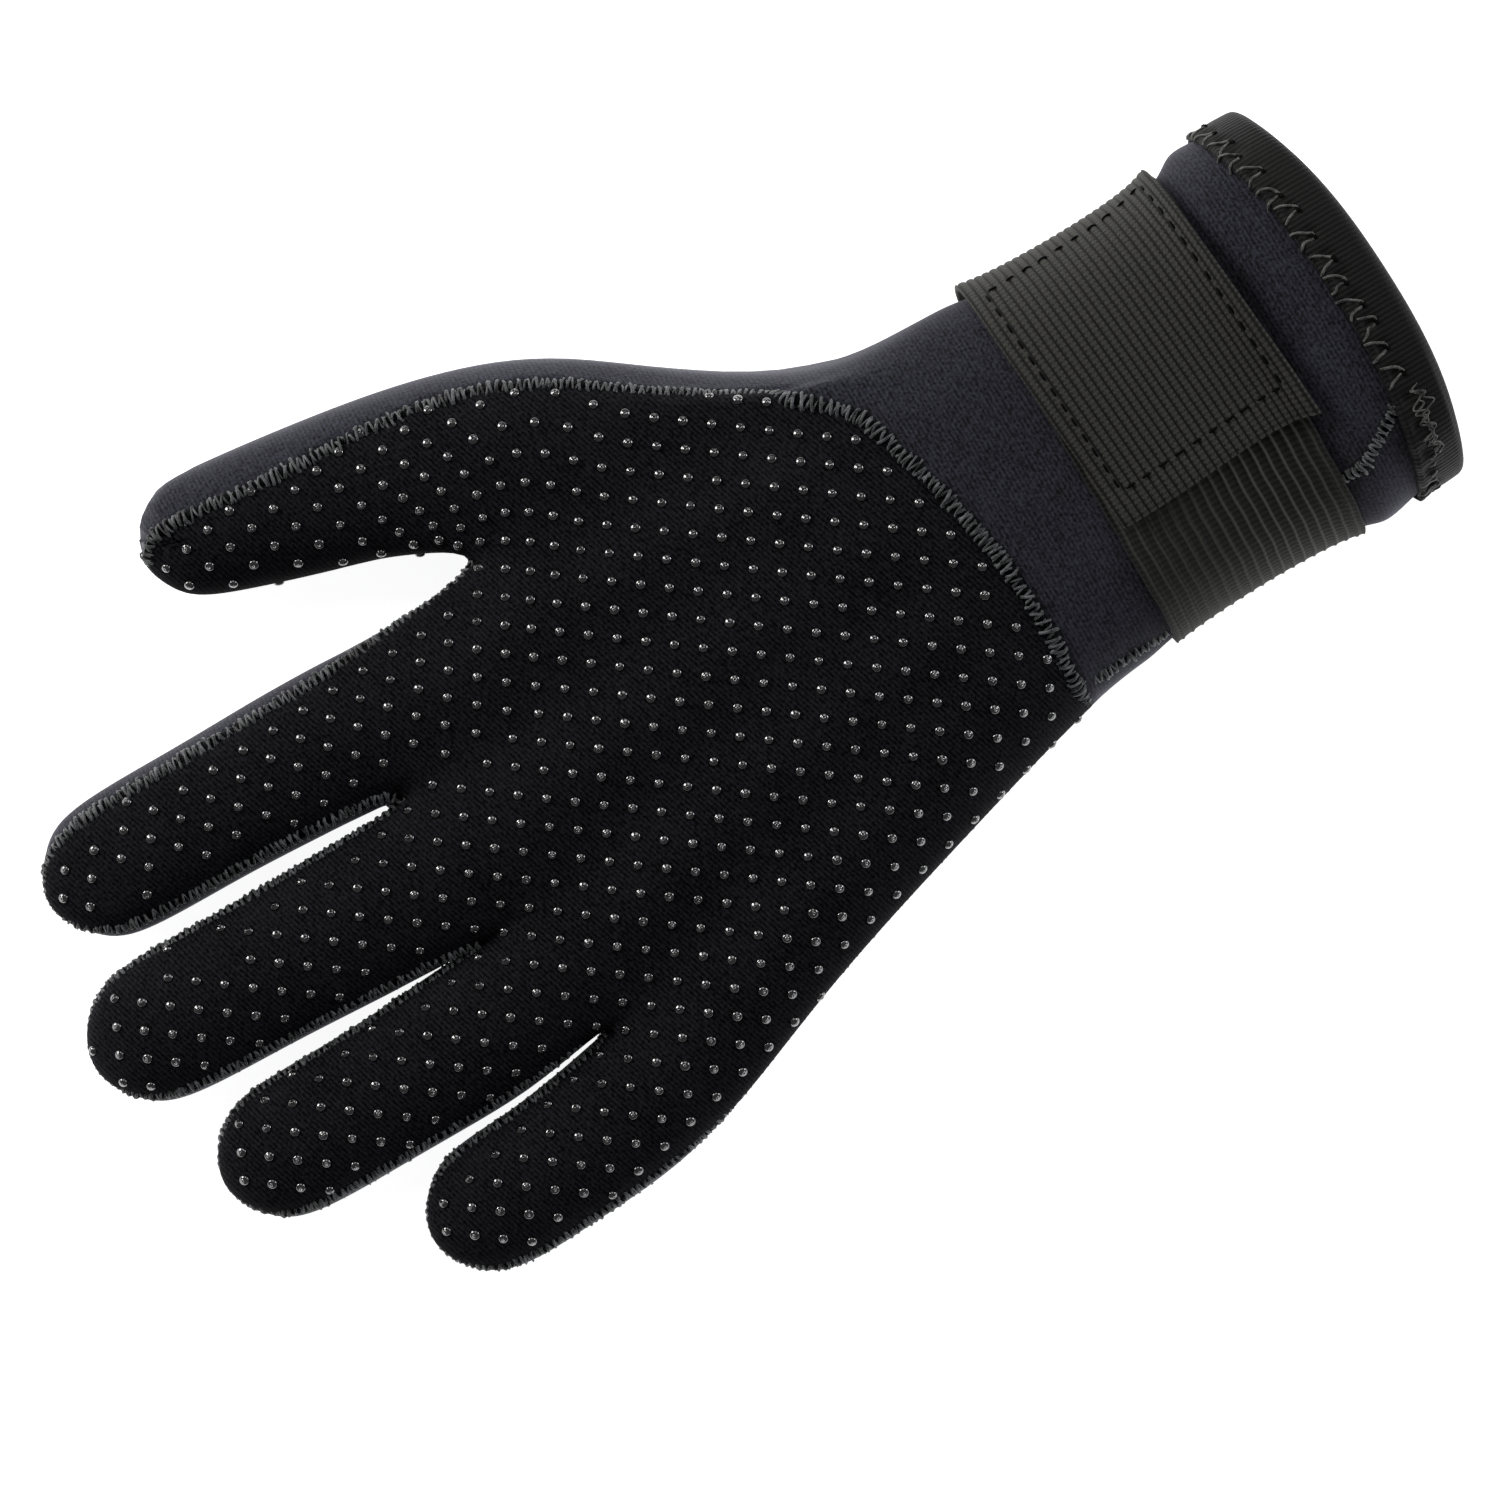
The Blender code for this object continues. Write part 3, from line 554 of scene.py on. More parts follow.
def makeCamera():
    up = unit(np.array([*studio["viewUp"], 0.0]))
    right = np.cross(up, (0, 0, 1))
    data = bpy.data.cameras.new("camera")
    data.sensor_width = studio["sensor"]
    data.lens = studio["sensor"] * studio["eye"] / studio["viewWidth"]
    camera = bpy.data.objects.new("camera", data)
    turn = Matrix((right, up, (0, 0, 1))).transposed().to_4x4()
    camera.matrix_world = Matrix.Translation((*studio["viewCentre"], studio["eye"] + studio["palm"])) @ turn
    bpy.context.scene.collection.objects.link(camera)
    bpy.context.scene.camera = camera
    return Vector(right), Vector(up)


# a softbox that faces the glove; right and up are the picture's directions
def addSoftbox(name, right, up, heading, tilt, distance, size, power, tint):
    data = bpy.data.lights.new(name, "AREA")
    data.shape, data.size, data.energy, data.color = "SQUARE", size, power, colour(tint)[:3]
    flat = right * cos(radians(heading)) + up * sin(radians(heading))
    away = flat * sin(radians(tilt)) + Vector((0, 0, cos(radians(tilt))))
    light = bpy.data.objects.new(name, data)
    light.location = away * distance
    light.rotation_euler = away.to_track_quat("Z", "Y").to_euler()
    bpy.context.scene.collection.objects.link(light)


def makeStudio():
    right, up = makeCamera()
    scene = bpy.context.scene
    scene.view_settings.view_transform = "Standard"
    scene.world = bpy.data.worlds.new("studio")
    scene.world.use_nodes = True
    sky = scene.world.node_tree.nodes["Background"]
    sky.inputs["Color"].default_value = colour("#ffffff")
    sky.inputs["Strength"].default_value = studio["skyStrength"]
    for name, box in studio["softboxes"].items():
        addSoftbox(name, right, up, *box)
    half = studio["floorSide"] / 2
    corners = [(x, y, -studio["floorDrop"]) for x, y in ((-half, -half), (half, -half), (half, half), (-half, half))]
    floor = newPiece("floor", np.array(corners), [np.array([[0, 1, 2, 3]])])
    material, add, sockets = newMaterial("pale studio paper", 0.9)
    grain = add("TexNoise", {"Vector": add("TexCoord")["Object"], "Scale": patterns["paper"]})["Fac"]
    add("ValToRGB", {"Fac": grain}, [(0.0, "#f6f6f6"), (1.0, "#fbfbfb")], sockets["Base Color"])
    sockets["Emission Color"].default_value = colour("#ffffff")
    sockets["Emission Strength"].default_value = studio["floorGlow"]
    floor.data.materials.append(material)


makeStudio()
print("studio ready")


# Sleeve: the gauntlet's outer surface, sampled round its axis, which the strap, the tab and the binding lie on

sleeve = {
    "angles": 720,
    "rows": 26,
    "margin": 3 * mm,           # how far the sampled rows reach past the strap
    "wall": 2.5 * mm,           # the neoprene
    "gap": 0.3 * mm,            # air under webbing and tape
}
strapLow, strapHigh = (np.array(c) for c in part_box("wrist_strap"))
sleeveAxis = (strapLow + strapHigh) / 2
sleeveAngles = anglesRound(sleeve["angles"])


# the first point of the back panel on the way in to the gauntlet's axis, for each angle and y
def sleevePoints(angles, ys):
    heads = np.stack([np.cos(angles), np.zeros(angles.shape), np.sin(angles)], axis=-1)
    return castAll(backTree, sleevePlaces(ys) + heads * 0.1, -heads)[0]


def sleevePlaces(ys):
    return np.stack([np.full(ys.shape, sleeveAxis[0]), ys, np.full(ys.shape, sleeveAxis[2])], axis=-1)


# evenly spaced places on a closed way round
def placesRound(length, step):
    return np.linspace(0, length, round(length / step) + 1)[:-1]


# outward normals of a closed grid of rings (row, angle, 3): the way round crossed with the way along
def gridNormals(grid):
    around = np.roll(grid, -1, axis=1) - np.roll(grid, 1, axis=1)
    return unit(np.cross(np.gradient(grid, axis=0), around))


# points of a grid at fractional rows and columns; columns run round and rows run on past the ends
def between(grid, rows, columns):
    r0 = np.clip(np.floor(rows).astype(int), 0, len(grid) - 2)
    c0 = np.floor(columns).astype(int)
    r, c = (rows - r0)[..., None], (columns - c0)[..., None]
    near, far = c0 % grid.shape[1], (c0 + 1) % grid.shape[1]
    low = grid[r0, near] * (1 - c) + grid[r0, far] * c
    high = grid[r0 + 1, near] * (1 - c) + grid[r0 + 1, far] * c
    return low * (1 - r) + high * r


sleeveYs = np.linspace(strapLow[1] - sleeve["margin"], strapHigh[1] + sleeve["margin"], sleeve["rows"])
sleeveGrid = sleevePoints(*np.broadcast_arrays(sleeveAngles[None], sleeveYs[:, None]))
sleeveNormals = gridNormals(sleeveGrid)
middleRing = sleeveGrid[sleeve["rows"] // 2]
runRound = runAlong(middleRing, True)
girth = runRound[-1]


# points over a band of sampled rings: s is the way round from the thumb's side over the palm, place lies along the
# evenly spaced rows, and height is the distance out along the normal
def overBand(grid, normals, run, spots, s, place, height):
    count = grid.shape[1]
    columns = np.interp(s % run[-1], run, np.arange(count + 1)) + count * np.floor(s / run[-1])
    rows = (place - spots[0]) / (spots[1] - spots[0])
    normal = unit(between(normals, rows, columns))
    return between(grid, rows, columns) + normal * np.asarray(height)[..., None]


# a point over the sleeve: y is the place along the hand
def onSleeve(s, y, height):
    return overBand(sleeveGrid, sleeveNormals, runRound, sleeveYs, s, y, height)


# Webbing: an outline of ribs carried along the sleeve

# closed outline of webbing as (across, height): ribs on the outer side, round edges, plain inner side
def webbingOutline(width, thickness, ribs, perRib, relief, crest):
    edge = thickness * 0.4
    across = np.linspace(-width / 2 + edge, width / 2 - edge, ribs * perRib + 1)
    phase = np.linspace(0, ribs, ribs * perRib + 1) % 1
    height = thickness - relief * (1 - crest(phase))
    turn = np.linspace(0, pi, 7)[1:-1]
    right = np.stack([width / 2 - edge + edge * np.sin(turn), thickness / 2 * (1 + np.cos(turn))], axis=1)
    inner = np.stack([np.linspace(width / 2 - edge, -width / 2 + edge, 22), np.zeros(22)], axis=1)
    left = np.stack([-right[::-1, 0], right[::-1, 1]], axis=1)
    return np.concatenate([np.stack([across, height], axis=1), right, inner, left])


strap = {
    "thickness": 1.3 * mm,
    "ribs": 18,
    "relief": 0.28 * mm,
    "cord": 0.13,               # half width of a raised cord, as a share of a rib's pitch
    "step": 0.55 * mm,
    "wave": 0.12 * mm,          # unevenness along the edges
}


# a narrow cord in the middle of each rib: exp(-(distance / width)^2)
def cordCrest(phase):
    return np.exp(-((phase - 0.5) / strap["cord"]) ** 2)


# the strap: the outline at each place s round the sleeve, at y = middle + across, height = gap + outline's height
def makeStrap():
    width = strapHigh[1] - strapLow[1]
    outline = webbingOutline(width, strap["thickness"], strap["ribs"], 9, strap["relief"], cordCrest)
    s = placesRound(girth, strap["step"])
    wave = strap["wave"] * (np.sin(2 * pi * s * 9 / girth) + np.sin(2 * pi * s * 23 / girth + 1)) / 2
    y = sleeveAxis[1] + outline[None, :, 0] + wave[:, None]
    places, heights = np.broadcast_arrays(s[:, None], sleeve["gap"] + outline[None, :, 1])
    points = onSleeve(places, y, heights)
    v = np.append(outline[:, 0], outline[0, 0])
    piece = newPiece("strapWebbing", points, [gridFaces(len(s), len(outline), True, True)],
                     gridCorners(np.append(s, girth), v))
    finishPiece(piece, strapWebbing, "strap_webbing", "wrist_strap")


tab = {
    "thickness": 1.3 * mm,
    "width": 42.5 * mm,
    "skew": radians(3.3),
    "overhang": 1.5 * mm,       # past the strap's edge at the thumb's side
    "wrap": 10 * mm,            # down past the middle of the thumb's side
    "ribs": 26,
    "relief": 0.42 * mm,
    "step": 0.5 * mm,
    "curl": 0.5 * mm,           # how far the free end stands off
    "curlReach": 9 * mm,
    "bow": 1.6 * mm,            # how far its edge towards the mouth stands off in the middle
    "bowReach": 13 * mm,
    "squeeze": 0.45,            # thickness of the cut ends, as a share
}
tabBase = 2 * sleeve["gap"] + strap["thickness"]


# rounded ribs side by side: sqrt of the sine over each pitch
def ribCrest(phase):
    return np.sqrt(np.abs(np.sin(pi * phase)))


# place s round the sleeve and y for a point of the tab: t runs from the thumb's side to the free end
def tabPlace(t, w):
    s = t * cos(tab["skew"]) + w * sin(tab["skew"])
    y = tabMiddle - t * sin(tab["skew"]) + w * cos(tab["skew"])
    return s, y


topHalf = sleeveAngles < pi
tabMiddle = strapHigh[1] + tab["overhang"] - tab["width"] / 2
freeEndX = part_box("strap_tab")[0].x + tab["width"] / 2 * sin(tab["skew"])
tabReach = float(np.interp(-freeEndX, -middleRing[topHalf, 0], runRound[:-1][topHalf]))


# how far the tab stands off: a curl at its free end, and half a sine wave along its edge towards the mouth
def tabStand(t, w):
    edge = -tab["width"] / 2
    bow = np.sin(pi * np.clip(t / tabReach, 0, 1)) * (1 - ease(w, edge, edge + tab["bowReach"]))
    return tab["curl"] * ease(t, tabReach - tab["curlReach"], tabReach) + tab["bow"] * bow


# the tab: its outline at each t, turned by the skew on the unrolled sleeve, over the strap
def makeTab():
    outline = webbingOutline(tab["width"], tab["thickness"], tab["ribs"], 8, tab["relief"], ribCrest)
    count = round((tabReach + tab["wrap"]) / tab["step"])
    t = np.linspace(-tab["wrap"], tabReach, count)
    ends = np.minimum(ease(t, -tab["wrap"], -tab["wrap"] + tab["thickness"] / 2),
                      1 - ease(t, tabReach - tab["thickness"] / 2, tabReach))
    share = tab["squeeze"] + (1 - tab["squeeze"]) * ends
    middle = tab["thickness"] / 2
    height = middle + (outline[None, :, 1] - middle) * share[:, None]
    along, across = np.broadcast_arrays(t[:, None], outline[None, :, 0])
    s, y = tabPlace(along, across)
    points = onSleeve(s, y, tabBase + height + tabStand(along, across))
    size = len(outline)
    caps = np.stack([np.arange(size)[::-1], (count - 1) * size + np.arange(size)])
    sideCorners = gridCorners(t, np.append(outline[:, 0], outline[0, 0]))
    capCorners = np.concatenate([np.stack([np.full(size, t[k]), outline[::step, 0]], axis=1)
                                 for k, step in ((0, -1), (-1, 1))])
    piece = newPiece("tabWebbing", points, [gridFaces(count, size, False, True), caps],
                     np.concatenate([sideCorners, capCorners]))
    finishPiece(piece, tabWebbing, "tab_webbing", "strap_tab")


makeStrap()
makeTab()


# Binding: knit tape folded over the mouth's edge

binding = {
    "width": 9.2 * mm,
    "thickness": 1.2 * mm,
    "flat": 0.6 * mm,           # where the fold round the edge begins
    "puff": 0.2 * mm,           # how far the tape stands off between its stitches and the edge
    "angles": 480,
    "step": 0.5 * mm,
    "stitchPitch": 4.9 * mm,
    "stitchInset": 2.4 * mm,    # of the row of stitches, from the tape's inner edge
    "dip": 0.7 * mm,            # how deep a stitch draws the tape in
    "dipReach": 1.3 * mm,
    "scallop": 0.6 * mm,        # how far it draws the tape's edge back
    "joinX": -30.3 * mm,        # the lapped join
    "joinReach": 8 * mm,
    "joinHeight": 0.5 * mm,
}
mouthAngles = anglesRound(binding["angles"])


# where the mouth's edge lies for each angle: straight on along +Y in the middle of the wall
def mouthEdge():
    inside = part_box("back_panel")[0].y + 11 * mm
    ring = sleevePoints(mouthAngles, np.full(mouthAngles.shape, inside))
    further = sleevePoints(mouthAngles, np.full(mouthAngles.shape, inside + 1 * mm))
    outward = gridNormals(np.stack([ring, further]))[0]
    middle = ring - outward * sleeve["wall"] / 2
    middle[:, 1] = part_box("cuff_binding")[0].y - 20 * mm
    hits = [backTree.ray_cast(Vector(p), Vector((0, 1, 0)))[0] for p in middle]
    return smoothed(np.array([h.y for h in hits]), 2, True)


edgeYs = mouthEdge()
mouthRows = np.linspace(1.5 * mm, binding["width"] + 2.5 * mm, 9)
mouthGrid = sleevePoints(*np.broadcast_arrays(mouthAngles[None], edgeYs[None] + mouthRows[:, None]))
mouthNormals = gridNormals(mouthGrid)
edgeRing = between(mouthGrid, np.full(binding["angles"], -mouthRows[0] / (mouthRows[1] - mouthRows[0])),
                   np.arange(binding["angles"]).astype(float))
edgeRun = runAlong(edgeRing, True)
mouthGirth = edgeRun[-1]


# a point over the gauntlet's end: a is the way in from the edge, and less than 0 is out past it
def onMouth(s, a, height):
    return overBand(mouthGrid, mouthNormals, edgeRun, mouthRows, s, a, height)


# how far the tape stands off at a, the way in: half a sine wave, filled out
def tapePuff(a):
    return binding["puff"] * np.sin(pi * np.clip(a / binding["width"], 0, 1)) ** 0.8


# closed outline of the folded tape as (a, height): outer layer, round the edge in half an ellipse, inner layer,
# and back along the wall
def tapeOutline():
    width, thick, gap, wall = binding["width"], binding["thickness"], sleeve["gap"], sleeve["wall"]
    middle, flat = -wall / 2, binding["flat"]
    a = np.linspace(width - thick * 0.4, flat, 15)
    outer = np.stack([a, gap + thick + tapePuff(a)], axis=1)
    turn = np.linspace(pi / 2, -pi / 2, 15)[1:-1]
    reach = wall / 2 + gap + thick
    nose = np.stack([flat - (flat + gap + thick) * np.cos(turn), middle + reach * np.sin(turn)], axis=1)
    inner = np.stack([a[::-1], np.full(15, middle - reach)], axis=1)
    back = np.stack([np.linspace(width, flat, 5), np.full(5, middle - wall / 2 - gap)], axis=1)
    turnIn = turn[::-1]
    bottom = np.stack([flat - (flat + gap) * np.cos(turnIn), middle + (wall / 2 + gap) * np.sin(turnIn)], axis=1)
    front = np.stack([np.linspace(flat, width, 5), np.full(5, gap)], axis=1)
    lip = np.array([[width + thick * 0.1, gap + thick * 0.5]])
    return np.concatenate([outer, nose, inner, back, bottom, front, lip])


hooks = round(mouthGirth / binding["stitchPitch"])
bindingStitches = (np.arange(hooks) + 0.5 + rng.uniform(-0.12, 0.12, hooks)) * mouthGirth / hooks
topAngles = binding["angles"] // 2
joinPlace = float(np.interp(-binding["joinX"], -edgeRing[:topAngles, 0], edgeRun[:topAngles]))


# how deep the stitches draw the tape at (s, a): a sum of bells round each stitch
def stitchDips(s, a):
    far = np.abs(s[..., None] - bindingStitches)
    far = np.minimum(far, mouthGirth - far)
    bell = np.exp(-(far / binding["dipReach"]) ** 2).sum(axis=-1)
    row = binding["width"] - binding["stitchInset"]
    return bell * np.exp(-((a - row) / (1.1 * binding["dipReach"])) ** 2), bell


# height of the tape's outer side over the wall, with the lapped join's step
def tapeLift(s, a):
    dips, bell = stitchDips(s, a)
    join = np.exp(-((s - joinPlace - 0.5 * (a - binding["width"] / 2)) / binding["joinReach"]) ** 4)
    return binding["joinHeight"] * join - binding["dip"] * dips, bell


def makeBinding():
    outline = tapeOutline()
    s = placesRound(mouthGirth, binding["step"])
    place, a = np.broadcast_arrays(s[:, None], outline[None, :, 0])
    lift, bell = tapeLift(place, a)
    outerSide = np.clip((outline[None, :, 1] - sleeve["gap"] - 0.2 * mm) / (0.8 * mm), 0, 1) * (a > 0)
    height = outline[None, :, 1] + lift * outerSide
    edge = ease(a, binding["width"] * 0.8, binding["width"])
    points = onMouth(place, a - binding["scallop"] * bell * edge * outerSide, height)
    piece = newPiece("edgeTape", points, [gridFaces(len(s), len(outline), True, True)],
                     gridCorners(np.append(s, mouthGirth), runAlong(outline, True)))
    finishPiece(piece, edgeTape, "binding_knit", "cuff_binding")


makeBinding()


# Overlocked seams: a ridge of thread over the two edges of neoprene, wound round by two threads

overlock = {
    "width": 1.15 * mm,         # half width of the ridge
    "height": 0.8 * mm,         # of the ridge over the cloth
    "sink": 0.15 * mm,          # how deep its middle lies
    "pitch": 1.4 * mm,
    "thread": 0.27 * mm,        # radius, two plies thick
    "stray": 0.42 * mm,         # how far the threads lie off their winding
    "perTurn": 12,              # points of the line
    "uneven": 0.38,             # of the winding's width and height, as a share
    "sideSink": 0.35 * mm,      # how much deeper it lies on the glove's sides, where it is drawn tight
    "flat": 0.1,                # its height there, as a share
}


# slow random change along a line of points: values between -1 and 1 a number of points apart, joined straight
def drift(count, points):
    coarse = rng.uniform(-1, 1, max(4, count // points))
    return np.interp(np.linspace(0, len(coarse) - 1, count), np.arange(len(coarse)), coarse)


# a thread wound over a seam: centre + width * cos(turn) * side + height * sin(turn) * up, the lower half
# pressed flat inside the seam, and stray offsets to the side and up
def woundThread(line, ups, along, hand, start):
    count = len(line)
    turns = 2 * pi / overlock["perTurn"] * hand * np.cumsum(1 + 0.45 * drift(count, 11)) + start
    side = unit(np.cross(along, ups))
    wide = overlock["width"] * (1 + overlock["uneven"] * drift(count, 22))
    tight = overlock["flat"] + (1 - overlock["flat"]) * ease(ups[:, 2], 0.1, 0.75)
    high = overlock["height"] * (1 + overlock["uneven"] * drift(count, 14)) * tight
    rise = np.where(np.sin(turns) > 0, np.sin(turns), 0.45 * np.sin(turns))
    off, lift = (overlock["stray"] * tight * drift(count, 4) for _ in range(2))
    return line + side * (wide * np.cos(turns) + off)[:, None] + ups * (high * rise + 0.6 * lift)[:, None]


# a seam's ridge and its threads along a line with its up directions
def makeSeam(name, line, ups, closed):
    line, ups = resampled(line, ups, overlock["pitch"] / overlock["perTurn"], closed)
    line, ups = smoothed(line, 3, closed), unit(ups)
    along = directions(line, 0, closed)
    ups = unit(ups - along * (ups * along).sum(axis=1, keepdims=True))
    sink = overlock["sink"] + overlock["sideSink"] * (1 - ease(ups[:, 2:], 0.1, 0.75))
    centre = line - ups * sink
    every = slice(None, None, 4)
    swell = 1 + 0.15 * drift(len(line), 16)[every]
    core, coreFaces = tubes(centre[every][None], ups[every][None], swell[None] * overlock["width"] * 0.8, 8, closed)
    squash = core - centre[every][None, :, None]
    upPart = (squash * ups[every][None, :, None]).sum(axis=-1, keepdims=True) * ups[every][None, :, None]
    core = core - upPart * 0.55
    # painted shade: the ridge under the wound threads is near black, for the shade in the gaps between them
    finishPiece(newPiece(name + "Ridge", core, coreFaces), blackThreadAndShade, "seam_thread")
    for hand, label, start in ((1, "Over", 0.0), (-1, "Back", 1.3)):
        strand = woundThread(centre, ups, along, hand, start)
        thick = overlock["thread"] * (1 + 0.35 * drift(len(strand), 9))
        threadPiece(name + label, strand[None], along[None], thick[None], 5, seamThread, "seam_thread", closed)


# each corner's normal from the outer faces alone
def outerNormals(points, quads):
    crossed = np.cross(points[quads[:, 2]] - points[quads[:, 0]], points[quads[:, 3]] - points[quads[:, 1]])
    sums = np.zeros_like(points)
    for k in range(4):
        np.add.at(sums, quads[:, k], crossed)
    return unit(sums)


palmPoints = meshArrays(palmSkin.data)[0]
palmUps = outerNormals(palmPoints, palmQuads)
makeSeam("palmSeam", smoothed(palmPoints[rim], 4, True), smoothed(palmUps[rim], 6, True), True)


# Closing seam: the gauntlet's own seam, seen between the binding and the strap, and from the strap to the palm

closing = {
    "mouthEnd": np.array([(-24.9, -131.1), (-26.0, -129.0), (-27.6, -126.3), (-30.4, -121.6), (-32.4, -117.6),
                          (-32.2, -114.3), (-32.0, -110.0)]) * mm,
    "corner": np.array([-41.1, -57.6]) * mm,
    "under": 2 * mm,            # how far it runs on under the strap
}


def makeClosingSeam():
    plan = closing["mouthEnd"]
    starts = np.stack([plan[:, 0], plan[:, 1], np.full(len(plan), 0.1)], axis=1)
    line, ups = castAll(backTree, starts, np.broadcast_to((0.0, 0.0, -1.0), starts.shape))
    makeSeam("mouthSeam", line, ups, False)
    corner = palmPoints[rim[np.argmin(np.linalg.norm(palmPoints[rim, :2] - closing["corner"], axis=1))]]
    ys = np.linspace(strapHigh[1] - closing["under"], corner[1], 9)
    angle = np.arctan2(corner[2] - sleeveAxis[2], corner[0] - sleeveAxis[0])
    heads = np.broadcast_to((cos(angle), 0.0, sin(angle)), (9, 3))
    line, ups = castAll(backTree, sleevePlaces(ys) + heads * 0.1, -heads)
    makeSeam("sideSeam", smoothed(line, 1, False), ups, False)


makeClosingSeam()


# Grip dots: rubber domes in a lattice, which is turned on the thumb, as its part of the cloth was cut at an angle

grip = {
    "first": (-4.98 * mm, -6.29 * mm),
    "steps": ((-3.25 * mm, -4.23 * mm), (-4.72 * mm, 2.28 * mm)),
    "reach": 48,                # lattice steps each way
    "radius": 0.98 * mm,
    "height": 0.6 * mm,
    "skirt": 0.15 * mm,         # how deep the foot goes into the cloth
    "sides": 16,
    "clear": 2.3 * mm,          # kept from the seam's middle
    "thumbTurn": radians(47.4),
    "thumbPivot": (51.92 * mm, 15.71 * mm),
    "thumbWay": (0.8, 0.6),
    "thumbEase": 20 * mm,
    "indexTurn": radians(-10),
    "indexPivot": (20 * mm, 35 * mm),
    # where the turns set in and are whole, as low and high ends along x or y
    "thumbX": (38 * mm, 46 * mm),
    "gapY": (10 * mm, 40 * mm),
    "indexX": (5.5 * mm, 10.5 * mm),
    "indexY": (25 * mm, 60 * mm),
}


# places on the lattice: the plan turned back round the thumb's pivot, q = c + turn(-angle * share) * (p - c), with
# the share eased in along the thumb and kept out of the index finger
def latticePlaces(plan):
    pivot, way = np.array(grip["thumbPivot"]), np.array(grip["thumbWay"])
    share = ease((plan - pivot) @ way, -grip["thumbEase"], grip["thumbEase"])
    besideThumb = 1 - ease(plan[:, 0], *grip["thumbX"])
    share = share * (1 - ease(plan[:, 1], *grip["gapY"]) * besideThumb)
    turn = np.exp(-1j * grip["thumbTurn"] * share)
    away = turn * ((plan[:, 0] - pivot[0]) + 1j * (plan[:, 1] - pivot[1]))
    away = away + pivot[0] + 1j * pivot[1]
    root = grip["indexPivot"][0] + 1j * grip["indexPivot"][1]
    index = ease(plan[:, 1], *grip["indexY"]) * besideThumb * ease(plan[:, 0], *grip["indexX"])
    away = root + np.exp(-1j * grip["indexTurn"] * index) * (away - root)
    return np.stack([away.real, away.imag], axis=1)


# centres and normals of the dots: each lattice point found in the moved triangles and carried back to the cloth
def dotPlaces():
    lattice = latticePlaces(palmPoints[:, :2])
    triangles = np.concatenate([palmQuads[:, [0, 1, 2]], palmQuads[:, [0, 2, 3]]])
    flatPoints = np.column_stack([lattice, np.zeros(len(lattice))])
    tree = BVHTree.FromPolygons(flatPoints.tolist(), triangles.tolist())
    i, j = np.meshgrid(np.arange(-grip["reach"], grip["reach"] + 1), np.arange(-grip["reach"], grip["reach"] + 1))
    steps = np.array(grip["steps"])
    spots = np.array(grip["first"]) + i.reshape(-1, 1) * steps[0] + j.reshape(-1, 1) * steps[1]
    places, normals = [], []
    for spot in spots:
        hit, _, index, _ = tree.ray_cast(Vector((*spot, 1.0)), Vector((0, 0, -1)))
        if hit is not None:
            corners = triangles[index]
            frameFlat = [Vector(flatPoints[c]) for c in corners]
            places.append(barycentric_transform(hit, *frameFlat, *[Vector(palmPoints[c]) for c in corners]))
            normals.append(barycentric_transform(hit, *frameFlat, *[Vector(palmUps[c]) for c in corners]))
    places, normals = np.array(places), unit(np.array(normals))
    clear = np.linalg.norm(places[:, None] - palmPoints[rim][None, ::2], axis=2).min(axis=1)
    keep = clear > grip["clear"]
    return places[keep], normals[keep]


# domes: radius * cos(a)^0.8 out and height * sin(a)^0.9 up, with steep sides and a flat foot in the cloth
def makeDots():
    centres, ups = dotPlaces()
    count, sides = len(centres), grip["sides"]
    climb = np.radians([0, 0, 22, 44, 62, 78])
    out = np.cos(climb) ** 0.8 * grip["radius"]
    high = np.sin(climb) ** 0.9 * grip["height"]
    high[0] = -grip["skirt"]
    size = 1 + rng.uniform(-0.05, 0.05, count)[:, None, None, None]
    tall = 1 + rng.uniform(-0.1, 0.1, count)[:, None, None, None]
    side = unit(np.cross(ups, (0.0, 1.0, 0.0)))
    fore = np.cross(ups, side)
    angles = anglesRound(sides)[None, :, None]
    ring = np.cos(angles) * side[:, None] + np.sin(angles) * fore[:, None]
    domes = centres[:, None, None] + size * out[None, :, None, None] * ring[:, None] \
        + tall * high[None, :, None, None] * ups[:, None, None]
    tops = centres + ups * grip["height"] * tall[:, 0, 0]
    rings = len(climb)
    block = rings * sides + 1
    points = np.concatenate([domes.reshape(count, -1, 3), tops[:, None]], axis=1)
    wall = repeated(gridFaces(rings, sides, False, True)[:, ::-1], count, block)
    last = (rings - 1) * sides + np.arange(sides)
    fan = np.stack([np.full(sides, rings * sides), np.roll(last, -1), last], axis=1)
    fan, foot = repeated(fan, count, block), repeated(np.arange(sides)[None], count, block)
    print("dots", count)
    finishPiece(newPiece("gripDots", points, [wall, fan, foot]), gripRubber, "grip_rubber")


makeDots()


# Stitches: the tab's box of dark stitches, and the hooks of lighter thread along the binding

